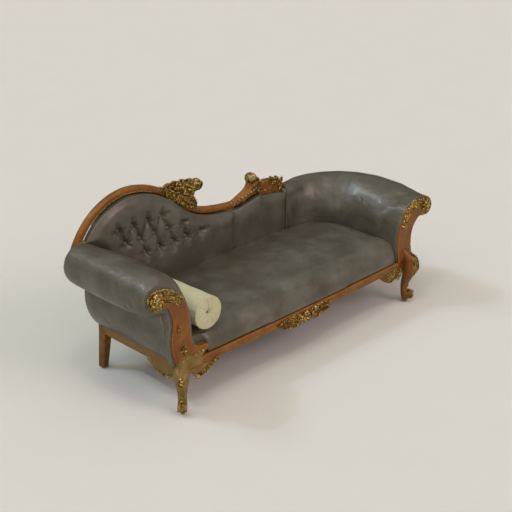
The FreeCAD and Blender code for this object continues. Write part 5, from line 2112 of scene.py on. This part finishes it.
@dataclass
class ShowWood:
    """The polished frame, smoothed, with its carving."""

    frame: dict
    finishes: Finishes
    corner_low: float = 0.16
    corner_high: float = 0.34
    smoothed: tuple = (
        ("front_left_leg", 0.0032, 6),
        ("front_right_leg", 0.0032, 6),
        ("rear_left_leg", 0.004, 3),
        ("rear_right_leg", 0.004, 3),
        ("crest_rail", 0.0045, 5),
        ("left_arm_facing", 0.0032, 2),
        ("right_arm_facing", 0.0032, 2),
        ("left_front_bracket", 0.0026, 2),
        ("right_front_bracket", 0.0026, 2),
        ("left_side_bracket", 0.0026, 2),
        ("right_side_bracket", 0.0026, 2),
        ("crest_end_block", 0.0030, 2),
        ("front_seat_rail", 0.0045, 1),
    )

    def __post_init__(self) -> None:
        """Start with no wood and a carver."""
        self.carving = Carving(self.finishes)
        self.wood: dict[str, Piece] = {}

    def build(self) -> None:
        """Make the show wood and its carving."""
        for node, voxel, smooth in self.smoothed:
            piece = copy_node(self.frame, node, node.replace("_", " "))
            remesh(piece, voxel, smooth)
            if node in ("front_left_leg", "front_right_leg"):
                self._sink_top(piece)
            shade(piece, 50.0)
            self.wood[node] = piece
        self._corner("left")
        self._corner("right")
        self._dress_wood()
        self._crest_carving()
        self._crest_end()
        self._rail_carving()
        self._left_facing()
        self._right_facing()
        self._legs()
        self._crest_line()

    def _corner(self, side: str) -> None:
        """Fill the hollows where a leg, its brackets and its facing meet with wood.

        Args:
            side: The corner's side.
        """
        parts = []
        for node in ("front_%s_leg", "%s_front_bracket", "%s_side_bracket", "%s_arm_facing"):
            part = twin(self.wood[node % side])
            mesh = bmesh.new()
            mesh.from_mesh(part.data)
            for height, way in ((self.corner_low, -1), (self.corner_high, 1)):
                made = bmesh.ops.bisect_plane(
                    mesh, geom=mesh.verts[:] + mesh.edges[:] + mesh.faces[:], plane_co=(0, 0, height),
                    plane_no=(0, 0, way), clear_outer=True,
                )["geom_cut"]
                bmesh.ops.holes_fill(mesh, edges=[g for g in made if isinstance(g, bmesh.types.BMEdge)])
            mesh.to_mesh(part.data)
            mesh.free()
            parts.append(part)
        piece = join(parts, "%s corner" % side.capitalize())
        remesh(piece, 0.006, 26)
        shade(piece, 60.0)
        material = self.finishes.dull_wood if side == "left" else self.finishes.wood_z
        finish_piece(piece, material)

    def _sink_top(self, piece: Piece) -> None:
        """Draw the top of a front leg in under its facing.

        Args:
            piece: The leg.
        """
        points = points_of(piece)
        side = np.sign(points[:, 0].mean())
        low, deep = (0.220, 0.055) if side < 0 else (0.262, 0.022)
        share = np.clip((points[:, 2] - low) / 0.090, 0.0, 1.0)
        shift = deep * share * share * (3 - 2 * share)
        points[:, 0] -= side * shift
        points[:, 1] += shift
        move_points(piece, points)

    def _dress_wood(self) -> None:
        """Give each piece of wood its grain, and gilding where it is gilded."""
        finishes = self.finishes
        along_x = ("crest_rail", "front_seat_rail", "right_front_bracket", "crest_end_block")
        gilded = self._gilded()
        for node, piece in self.wood.items():
            if node in along_x:
                material = finishes.wood_x
            elif "side_bracket" in node:
                # Side brackets take the show wood darkened partly as painted shade.
                material = finishes.wood_y
            elif node.startswith("rear_"):
                material = finishes.dark_wood
            else:
                material = finishes.wood_z
            if node in gilded:
                repaint(piece, *gilded[node])
            finish_piece(piece, material, replaces=[node])

    def _gilded(self) -> dict[str, tuple[Sequence[Material], Field3]]:
        """Say where the wood is gilded.

        Returns:
            For each solid with gilding its finishes, and what chooses among them for the middles of its faces.
        """
        has = self.finishes
        crest = (-0.457, -0.388, -0.317, -0.245, -0.178), (0.937, 0.872, 0.800, 0.748, 0.726)
        return {
            "crest_rail": ((has.wood_x, has.dull_gilt), lambda at: (
                (at[:, 0] > -0.452) & (at[:, 0] < -0.172) & (at[:, 2] > np.interp(at[:, 0], *crest))
            )),
            "front_seat_rail": ((has.wood_x, has.dull_wood), lambda at: (at[:, 0] < -0.735) | (at[:, 0] > 0.80)),
            "left_front_bracket": ((has.dull_wood, has.dull_gilt), lambda at: at[:, 2] < 0.183),
            "left_side_bracket": ((has.dull_wood, has.dull_gilt), lambda at: at[:, 2] < 0.180),
            "left_arm_facing": ((has.wood_z, has.dull_gilt, has.dull_wood), lambda at: np.select(
                [(at[:, 0] < -0.972) | (at[:, 2] > 0.655 - 0.35 * np.clip(at[:, 0] + 0.93, 0, 1)), at[:, 2] < 0.300],
                [1, 2], 0,
            )),
            "right_arm_facing": ((has.wood_z, has.gilt), lambda at: (
                (at[:, 0] > 0.90) & (at[:, 2] > 0.585) | (at[:, 0] > 1.03) | (at[:, 0] > 0.915) & (at[:, 2] < 0.370)
            )),
            "front_left_leg": ((has.dull_wood, has.dull_gilt), lambda at: (at[:, 2] < 0.050)),
            "front_right_leg": ((has.wood_z, has.dark_wood, has.dull_gilt), lambda at: np.select(
                [
                    (at[:, 0] > 0.890 + 0.30 * np.abs(at[:, 2] - 0.26)) & (at[:, 2] > 0.150)
                    | (at[:, 0] > 0.905) & (at[:, 2] < 0.075),
                    at[:, 2] < 0.190,
                ],
                [2, 1], 0,
            )),
        }

    def _crest_carving(self) -> None:
        """Carve the leaves and scrolls on the crest's arch."""
        tree = self.carving.tree_of(self.wood["crest_rail"])
        front = facing(0.289, tree)
        back = facing(0.337, tree, back=True)
        leaves = [
            Leaf((-0.235, 0.770), (-0.450, 0.932), 0.060, 0.02, 8, 0.008, 0.003, 0.004),
            Leaf((-0.240, 0.800), (-0.408, 0.942), 0.060, 0.03, 7, 0.009, 0.004, 0.006),
            Leaf((-0.235, 0.810), (-0.352, 0.948), 0.064, 0.04, 5, 0.009, 0.005, 0.008),
            Leaf((-0.235, 0.820), (-0.302, 0.950), 0.060, 0.02, 4, 0.009, 0.005, 0.010),
            Leaf((-0.235, 0.830), (-0.252, 0.944), 0.052, -0.04, 4, 0.008, 0.004, 0.012),
            Leaf((-0.240, 0.765), (-0.425, 0.905), 0.056, -0.05, 7, 0.008, 0.004, 0.006),
            Leaf((-0.235, 0.765), (-0.372, 0.862), 0.052, -0.06, 6, 0.009, 0.004, 0.008),
            Leaf((-0.225, 0.765), (-0.305, 0.808), 0.046, -0.06, 4, 0.008, 0.004, 0.010),
            Leaf((-0.250, 0.830), (-0.198, 0.742), 0.046, 0.10, 5, 0.008, 0.003, 0.004),
            Leaf((-0.245, 0.800), (-0.222, 0.745), 0.044, 0.02, 4, 0.008, 0.003, 0.007),
            Leaf((-0.245, 0.860), (-0.242, 0.800), 0.044, 0.02, 4, 0.008, 0.003, 0.009),
            Leaf((-0.330, 0.870), (-0.435, 0.922), 0.044, 0.08, 4, 0.007, 0.004, 0.012),
            Leaf((-0.290, 0.850), (-0.380, 0.920), 0.044, -0.08, 4, 0.007, 0.004, 0.014),
            Leaf((-0.265, 0.850), (-0.330, 0.915), 0.040, 0.08, 4, 0.007, 0.004, 0.015),
        ]
        mirrored = [
            Leaf((-leaf.root[0], leaf.root[1]), (-leaf.tip[0], leaf.tip[1] - 0.030), leaf.width, -leaf.bend,
                 leaf.lobes, leaf.rise, leaf.curl, leaf.base)
            for leaf in leaves
        ]
        middle = facing(0.300)
        scroll = [
            Volute((-0.186, 0.884), 0.028, -110.0, 1.7, 0.010, 1.0, 0.006),
            Volute((-0.262, 0.872), 0.022, -40.0, 1.3, 0.006, 1.0, 0.016),
            boss((-0.186, 0.884), 0.020, 0.004),
            Beads(((-0.250, 0.790), (-0.405, 0.905)), 10, 0.0070, 0.018, 0.4),
            Beads(((-0.230, 0.905), (-0.330, 0.932)), 6, 0.0070, 0.012, 0.3),
            Volute((-0.212, 0.862), 0.036, -140.0, 0.34, 0.012, 1.0, 0.002),
        ]
        self._base("crest_leaf_ornament", "Crest leaf ground", self.finishes.gilt)
        self.carving.carve(
            "Crest leaf carving", [(front, leaves), (back, mirrored), (middle, scroll)], ["crest_leaf_ornament"],
            0.006,
        )

    def _base(self, node: str, name: str, material: Material) -> None:
        """Lay a rounded gilt ground under a carved ornament's leaves.

        Args:
            node: The ornament's solid.
            name: The piece's name.
            material: Its finish.
        """
        piece = copy_node(self.frame, node, name)
        if node == "crest_leaf_ornament":
            front, thinner, shoulder, lower = 0.287, 0.25, 0.80, 0.88
            points = points_of(piece)
            points[:, 1] = front + (points[:, 1] - points[:, 1].min()) * thinner
            points[:, 2] = np.minimum(points[:, 2], shoulder + (points[:, 2] - shoulder) * lower)
            move_points(piece, points)
        remesh(piece, 0.0035, 4)
        shade(piece, 60.0)
        finish_piece(piece, material)

    def _crest_end(self) -> None:
        """Carve the ball with its stem and leaves, and the cap on the crest's end block."""
        tree = self.carving.tree_of(self.wood["crest_rail"], self.wood["crest_end_block"])
        front, loose, back = facing(0.288, tree), facing(0.296), facing(0.336, tree, back=True)
        ball = [boss((0.241, 0.805), 0.026, 0.010)]
        cluster = [
            *sprig((0.285, 0.735), 0.052, (20, 55, 95), 0.032, 0.008, 4, 0.008),
            *sprig((0.290, 0.735), 0.055, (-110, -75, -45), 0.032, 0.007, 3, 0.005),
            *sprig((0.268, 0.745), 0.045, (-160, -130, 180), 0.028, 0.007, 3, 0.004),
        ]
        low_run: list = []
        for k, (x, z) in enumerate(((0.250, 0.718), (0.215, 0.706), (0.180, 0.694), (0.145, 0.688), (0.110, 0.684))):
            base = 0.001 + 0.001 * (k % 2)
            low_run.append(Leaf((x + 0.03, z + 0.004), (x - 0.016, z - 0.012), 0.026, 0.1, 3, 0.006, 0.004, base))
        run = ((0.077, 0.687), (0.150, 0.698), (0.214, 0.714), (0.265, 0.728))
        low_run.append(Beads(run, 9, 0.0058, 0.006, -0.2))
        cap = [
            Leaf((0.440, 0.715), (0.384, 0.758), 0.046, 0.10, 3, 0.010, 0.004, 0.001),
            Leaf((0.452, 0.712), (0.424, 0.768), 0.052, 0.06, 3, 0.010, 0.004, 0.003),
            Leaf((0.462, 0.710), (0.482, 0.746), 0.042, -0.10, 3, 0.010, 0.004, 0.002),
            Leaf((0.470, 0.712), (0.492, 0.646), 0.040, -0.08, 4, 0.008, 0.003, 0.001),
            Leaf((0.480, 0.690), (0.512, 0.660), 0.028, 0.10, 3, 0.007, 0.004, 0.003),
            Beads(((0.350, 0.694), (0.395, 0.690), (0.430, 0.668), (0.455, 0.652)), 5, 0.0060, 0.003, 0.2),
        ]
        cap_back = [
            Leaf((-0.440, 0.700), (-0.388, 0.735), 0.046, -0.10, 3, 0.008, 0.003, 0.001),
            Leaf((-0.452, 0.700), (-0.440, 0.742), 0.046, 0.04, 3, 0.008, 0.003, 0.003),
            Leaf((-0.462, 0.700), (-0.482, 0.732), 0.042, 0.10, 3, 0.008, 0.003, 0.002),
            *sprig((-0.285, 0.735), 0.055, (60, 90, 120), 0.036, 0.008, 3, 0.006),
        ]
        marks = [Vector((x, 0.313, z)) for x, z in (
            (0.090, 0.664), (0.150, 0.690), (0.195, 0.712), (0.226, 0.742), (0.243, 0.786)
        )]
        widths = [0.022 - 0.0004 * k for k in range(20)]
        stem = tube("Crest ball stem", smooth_line(marks, 20), 1.0, widths, sides=6)
        web = [Vector((x, 0.313, z)) for x, z in ((0.160, 0.680), (0.215, 0.705), (0.262, 0.735), (0.300, 0.742))]
        filling = tube("Crest ball web", smooth_line(web, 16), 1.0, [0.030] * 16, sides=6)
        piece = join([stem, filling], "Crest ball stem")
        finish_piece(piece, self.finishes.wood_x)
        self._base("crest_ball_ornament", "Crest ball ground", self.finishes.ball_gilt)
        self.carving.carve("Crest ball carving", [(loose, ball), (front, [*cluster, *low_run])],
                           ["crest_ball_ornament"], 0.006, self.finishes.ball_gilt)
        self.carving.carve("Crest end carving", [(front, cap), (back, cap_back)], ["crest_end_cap"], 0.006)

    def _rail_carving(self) -> None:
        """Carve the ornament under the middle of the front rail."""
        ground = facing(-0.352, self.carving.tree_of(self.wood["front_seat_rail"]), x=0.018)
        items: list = [Shell((0.0, 0.222), 0.036, 90.0, 300.0, 9, 0.010, 0.004)]
        for sign in (-1.0, 1.0):
            for root, tip, width, bend, lobes, base in (
                ((0.020, 0.232), (0.222, 0.242), 0.036, 0.06, 7, 0.001),
                ((0.022, 0.226), (0.195, 0.222), 0.034, -0.08, 6, 0.003),
                ((0.020, 0.236), (0.150, 0.253), 0.032, 0.06, 5, 0.004),
                ((0.018, 0.224), (0.128, 0.206), 0.034, -0.10, 5, 0.005),
                ((0.020, 0.232), (0.100, 0.246), 0.030, 0.10, 4, 0.007),
                ((0.100, 0.232), (0.205, 0.228), 0.030, -0.12, 4, 0.006),
                ((0.060, 0.225), (0.075, 0.198), 0.026, -0.10, 3, 0.006),
                ((0.110, 0.225), (0.138, 0.203), 0.024, -0.10, 3, 0.007),
            ):
                items.append(
                    Leaf((sign * root[0], root[1]), (sign * tip[0], tip[1]), width, sign * bend, lobes, 0.007, 0.003,
                         base)
                )
            items.append(Volute((sign * 0.058, 0.222), 0.013, 90.0, 1.4, 0.004, sign, 0.012))
            items.append(Beads(((sign * 0.050, 0.243), (sign * 0.165, 0.238)), 7, 0.0048, 0.014, 0.4))
        items.append(boss((0.0, 0.216), 0.011, 0.008))
        self.carving.carve("Front rail carving", [(ground, items)], ["front_rail_ornament"], 0.005)

    def _scales(self, marks: Sequence[Point2], count: int, spread: float, width: float, length: float) -> list[Leaf]:
        """Lay small overlapping leaves in rows along a line, each with its tip towards the line's end.

        Args:
            marks: Points that the line passes through.
            count: Number of leaves in a row.
            spread: Distance of the outer rows from the line.
            width: Width of a leaf.
            length: Length of a leaf.

        Returns:
            The leaves of the three rows.
        """
        line = smooth_line([Vector((*mark, 0.0)) for mark in marks], count + 1)
        leaves = []
        for number in range(count):
            here = line[number]
            run = (line[number + 1] - here).normalized()
            side = Vector((-run.y, run.x, 0.0))
            for row, aside in enumerate((spread, -spread, 0.0)):
                root = here + side * aside
                tip = here + run * length + side * aside * 1.5
                base = 0.001 + 0.0015 * ((number + row) % 3)
                leaves.append(Leaf((root.x, root.y), (tip.x, tip.y), width, 0.08 * (1 - row), 2, 0.006, 0.004, base))
        return leaves

    def _left_facing(self) -> None:
        """Carve the head arm's facing: its top, its scroll, a flower and the leaves at its foot."""
        ground = facing(-0.347, self.carving.tree_of(self.wood["left_arm_facing"]), 0.04)
        band = ((-1.000, 0.702), (-0.960, 0.692), (-0.918, 0.668), (-0.886, 0.636))
        over = self._scales(band, 7, 0.013, 0.026, 0.028)
        eye = (-1.038, 0.690)
        cap: list = [
            Shell(eye, 0.050, 0.0, 340.0, 11, 0.016, 0.002),
            Volute(eye, 0.043, 60.0, 1.2, 0.007, 1.0, 0.008),
            boss((-1.046, 0.696), 0.017, 0.014),
        ]
        for away in map(math.radians, (150, 190, 230, 270, 310)):
            root, tip = polar(eye, 0.026, away), polar(eye, 0.052, away + 0.35)
            cap.append(Leaf(root, tip, 0.028, 0.1, 2, 0.007, 0.002, 0.008))
        flower = (-0.898, 0.484)
        low: list = [
            Leaf(flower, polar(flower, 0.017, math.radians(turn)), 0.013, 0.0, 1, 0.005, 0.003, 0.001)
            for turn in range(0, 360, 72)
        ]
        low.append(boss(flower, 0.005, 0.005))
        low.extend(sprig((-0.872, 0.345), 0.046, (50, 85, 120, 155), 0.022, 0.006, 3, 0.003))
        low.extend(sprig((-0.868, 0.350), 0.030, (-10, -50, -110), 0.018, 0.006, 2, 0.003))
        low.append(boss((-0.868, 0.356), 0.0070, 0.010))
        low.append(Beads(((-0.879, 0.301), (-0.838, 0.300), (-0.790, 0.303), (-0.745, 0.310)), 6, 0.0072, 0.002, 0.1))
        self.carving.carve("Head facing band carving", [(ground, over)], material=self.finishes.dull_gilt)
        self.carving.carve("Head facing scroll carving", [(ground, cap)])
        self.carving.carve("Head facing low carving", [(ground, low)])

    def _right_facing(self) -> None:
        """Carve the foot arm's facing: its scroll and the leaves over its top."""
        ground = facing(-0.347, self.carving.tree_of(self.wood["right_arm_facing"]), 0.04)
        eye = (1.064, 0.574)
        edge = ((1.030, 0.596), (0.975, 0.607), (0.920, 0.592), (0.880, 0.545), (0.862, 0.490))
        items: list = [
            *self._scales(edge, 9, 0.009, 0.024, 0.034),
            Shell(eye, 0.040, 0.0, 340.0, 9, 0.012, 0.002),
            Volute(eye, 0.034, 120.0, 1.2, 0.006, -1.0, 0.008),
            boss(eye, 0.013, 0.012),
            Beads(((0.995, 0.614), (0.945, 0.612), (0.905, 0.590), (0.872, 0.545)), 10, 0.0060, 0.006, 0.3),
        ]
        self.carving.carve("Foot facing carving", [(ground, items)])

    def _legs(self) -> None:
        """Carve the front legs' knees and ankles, and their brackets."""
        for side, sign in (("left", -1.0), ("right", 1.0)):
            leg = self.wood["front_%s_leg" % side]
            tree = self.carving.tree_of(leg)
            out = Vector((sign, -1.0, 0.0)).normalized()
            right = Vector((0, 0, 1)).cross(out).normalized()
            origin = Vector((sign * 0.900, -0.355, 0.0)) + out * 0.075
            ground = Ground(origin, right, target=tree, depth=0.12, wrap=True)
            items: list = [
                *sprig((0.0, 0.215), 0.040, (-130, -90, -50), 0.022, 0.006, 3, 0.003),
                *sprig((0.0, 0.215), 0.030, (50, 90, 130), 0.020, 0.006, 2, 0.003),
                boss((0.0, 0.215), 0.0085, 0.006),
                *sprig((0.0, 0.086), 0.026, (-130, -90, -50), 0.018, 0.005, 2, 0.002),
                Beads(((-0.014, 0.108), (0.014, 0.108)), 4, 0.0045, 0.002, 0.0),
            ]
            parts = [(ground, items)]
            if side == "right":
                turned = Ground((0.99, -0.355, 0.0), (0, 1, 0), target=tree, depth=0.12, wrap=True)
                edge = ((-0.025, 0.330), (-0.030, 0.290), (-0.020, 0.250), (-0.012, 0.205))
                knee = [
                    *self._scales(edge, 8, 0.014, 0.026, 0.032),
                    Leaf((-0.020, 0.215), (-0.030, 0.168), 0.026, 0.10, 3, 0.006, 0.004, 0.004),
                ]
                parts.append((turned, knee))
            self.carving.carve("%s leg carving" % side.capitalize(), parts)
            self._bracket_carving(side, sign)

    def _bracket_carving(self, side: str, sign: float) -> None:
        """Carve the two brackets beside a front leg.

        Args:
            side: The leg's side.
            sign: Its sign along x.
        """
        tree = self.carving.tree_of(
            self.wood["front_%s_leg" % side], self.wood["%s_front_bracket" % side],
            self.wood["%s_side_bracket" % side], self.wood["front_seat_rail"],
        )
        face = facing(-0.343, tree, 0.03)
        beside = Ground((sign * 0.898, 0, 0), (0, -sign, 0), target=tree, depth=0.03)
        if side == "right":
            tips = ((0.702, 0.226), (0.704, 0.203), (0.728, 0.182), (0.768, 0.168), (0.812, 0.164))
            shell = [Leaf((0.862, 0.230), tip, 0.034, 0.06, 1, 0.009, 0.002, 0.002 + 0.001 * k)
                     for k, tip in enumerate(tips)]
            shell.append(boss((0.842, 0.205), 0.012, 0.010))
            side_run = [Leaf((0.270, 0.226), (tip[0] - 0.590, tip[1]), 0.030, 0.06, 1, 0.007, 0.002, 0.002)
                        for tip in tips]
        else:
            edge = ((-0.760, 0.172), (-0.712, 0.181), (-0.672, 0.206), (-0.640, 0.224))
            side_edge = ((-0.215, 0.176), (-0.160, 0.182), (-0.118, 0.204), (-0.090, 0.220))
            shell = [*self._scales(edge, 6, 0.006, 0.018, 0.026), boss((-0.781, 0.168), 0.014, 0.004)]
            side_run = [*self._scales(side_edge, 6, 0.006, 0.018, 0.026), boss((-0.240, 0.170), 0.014, 0.004)]
        self.carving.carve(
            "%s bracket carving" % side.capitalize(), [(face, shell), (beside, side_run)],
            material=self.finishes.dull_gilt,
        )

    def _crest_line(self) -> None:
        """Run a gilt line along the arch's inner edge."""
        outline = cap_outline(self.frame, "crest_rail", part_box("crest_rail")[0].y)
        left = min(range(len(outline)), key=lambda k: outline[k].x * 0.3 + outline[k].z)
        right = max(range(len(outline)), key=lambda k: outline[k].x)
        ring = outline[left:] + outline[:left]
        turn = (right - left) % len(outline)
        chains = [ring[: turn + 1], [ring[0], *reversed(ring[turn:])]]
        inner = min(chains, key=lambda c: sum(p.z for p in c) / len(c))
        arch_end, proud = -0.50, Vector((0, -0.0005, 0))
        line = smooth_line([p + proud for p in inner if p.x < arch_end], 120)
        piece = tube("Gilt line of the crest", line, 0.0020)
        finish_piece(piece, self.finishes.dull_gilt)


@dataclass(frozen=True)
class Inside:
    """Solids of the frame that show as they are, with their finishes."""

    frame: dict
    finishes: Finishes

    def dress(self) -> None:
        """Give each solid that still shows its finish."""
        finishes = self.finishes
        chosen = {
            Slot.SHOW_WOOD: finishes.wood_y,
            Slot.INNER_WOOD: finishes.inner_wood,
            Slot.STEEL: finishes.steel,
            Slot.HESSIAN: finishes.hessian,
            Slot.DUST_CLOTH: finishes.dust_cloth,
            Slot.BOLSTER_FILLING: finishes.filling,
            Slot.LEATHER: finishes.leather,
            Slot.GILT: finishes.gilt,
            Slot.BOLSTER_CLOTH: finishes.cloth,
        }
        named = {
            "back_seat_rail": finishes.inner_wood,
            "seat_webbing": finishes.webbing,
            "corner_block_screws": finishes.steel,
            "foot_glides": finishes.steel,
        }
        words = {slot.value: material for slot, material in chosen.items()}
        slots = {part["node"]: part["material_slot"] for part in self.frame["record"]["subparts"]}
        for name, node in self.frame["nodes"].items():
            material = named.get(name) or words.get(slots.get(name, ""), finishes.inner_wood)
            node.data.materials.clear()
            node.data.materials.append(material)


@dataclass(frozen=True)
class Studio:
    """A pale floor, soft light and the photograph's view."""

    target: tuple = (0.189, 0.203, 0.35)
    distance: float = 7.524
    azimuth: float = -45.0
    elevation: float = 25.0
    focal: float = 1290.5
    pixels: float = 512.0
    sensor: float = 36.0
    floor_dark: tuple = (0.632, 0.598, 0.534)
    floor_light: tuple = (0.652, 0.618, 0.554)
    sky: tuple = (0.985, 1.015, 0.955, 1.0)
    brightest: tuple = (-0.50, -0.45, 0.75)
    windows: tuple = ((-0.14, -0.28, 0.95), (-0.443, -0.034, 0.896), (-0.32, 0.60, 0.74))

    def build(self) -> None:
        """Make the floor, the lights, the surroundings and the camera."""
        self._floor()
        self._world()
        self._sun("Window", (-0.55, 0.60, 1.0), 3.0, 0.574, (0.507, 0.669, 1.0))
        self._sun("Front", (0.25, -1.0, 0.7), 28.0, 0.889, (1.0, 0.717, 0.811))
        self._camera()

    def _floor(self) -> None:
        """Lay a wide pale floor."""
        graph, material = Graph.of_material("Pale floor")
        place = graph.place()
        colour = graph.mix(graph.noise(place, 3.0, 4.0), self.floor_dark, self.floor_light)
        graph.close(Base_Color=colour, Roughness=0.95, Normal=graph.bump(graph.noise(place, 220.0), 0.05, 0.001))
        bpy.ops.mesh.primitive_grid_add(x_subdivisions=4, y_subdivisions=4, size=60.0, location=(0, 0, 0))
        floor = bpy.context.object
        floor.name = "Floor"
        floor.data.materials.append(material)
        floor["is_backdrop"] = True

    def _world(self) -> None:
        """Surround the sofa with soft light that is brightest from one side, and with small bright windows."""
        world = bpy.data.worlds.new("Studio")
        bpy.context.scene.world = world
        world.use_nodes = True
        graph = Graph(world.node_tree)
        way = graph.add("ShaderNodeTexCoord").outputs["Generated"]
        light = graph.math("MULTIPLY", self._towards(graph, way, self.brightest), 0.58)
        light = graph.math("MAXIMUM", graph.math("ADD", light, 0.32), 0.06)
        for window in self.windows:
            patch = graph.spread(self._towards(graph, way, window), 0.9955, 0.9985, 0.0, 16.0)
            light = graph.math("ADD", light, patch)
        ground = graph.add("ShaderNodeBackground", Color=self.sky, Strength=light)
        graph.add("ShaderNodeOutputWorld", Surface=ground.outputs[0])

    def _towards(self, graph: Graph, way: Socket, aim: Sequence[float]) -> Socket:
        """Measure how close a direction is to another.

        Args:
            graph: The world's graph.
            way: Socket of the direction.
            aim: The other direction.

        Returns:
            The socket of a value that is 1 where the two agree.
        """
        node = graph.add("ShaderNodeVectorMath", {"operation": "DOT_PRODUCT"})
        graph.feed(node, 0, way)
        graph.feed(node, 1, tuple(Vector(aim).normalized()))
        return node.outputs["Value"]

    def _sun(self, name: str, source: Sequence[float], angle: float, strength: float, colour: tuple) -> None:
        """Add a lamp that shines from one direction.

        Args:
            name: The lamp's name.
            source: Direction from the sofa to the lamp.
            angle: How wide the lamp looks, in degrees.
            strength: Its strength.
            colour: Its colour.
        """
        light = bpy.data.lights.new(name, "SUN")
        light.color = colour
        light.angle = math.radians(angle)
        light.energy = strength
        lamp = place_in_scene(bpy.data.objects.new(name, light))
        lamp.location = Vector(source) * 4.0
        lamp.rotation_euler = (-Vector(source)).to_track_quat("-Z", "Y").to_euler()
        lamp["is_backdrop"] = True

    def _camera(self) -> None:
        """Place the camera at the photograph's view."""
        azimuth, elevation = math.radians(self.azimuth), math.radians(self.elevation)
        away = Vector((
            math.sin(azimuth) * math.cos(elevation),
            -math.cos(azimuth) * math.cos(elevation),
            math.sin(elevation),
        ))
        data = bpy.data.cameras.new("Camera")
        data.sensor_width = self.sensor
        data.lens = self.focal * self.sensor / self.pixels
        camera = place_in_scene(bpy.data.objects.new("Camera", data))
        camera.location = Vector(self.target) + away * self.distance
        camera.rotation_euler = (-away).to_track_quat("-Z", "Y").to_euler()
        bpy.context.scene.camera = camera
        bpy.context.scene.view_settings.view_transform = "Standard"


def corners() -> list[list[float]]:
    """Give the object's lowest and highest corner as plain lists.

    Returns:
        Two lists of x, y, z.
    """
    low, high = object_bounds()
    return [[float(value) for value in low], [float(value) for value in high]]


def main() -> None:
    """Build the sofa and its surroundings."""
    logging.basicConfig(level=logging.INFO, format="%(message)s")
    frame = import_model()
    finishes = Finishes()
    Inside(frame, finishes).dress()
    Upholstery(frame, finishes).build()
    Bolster(frame, finishes).build()
    ShowWood(frame, finishes).build()
    Studio().build()


if __name__ == "__main__":
    main()
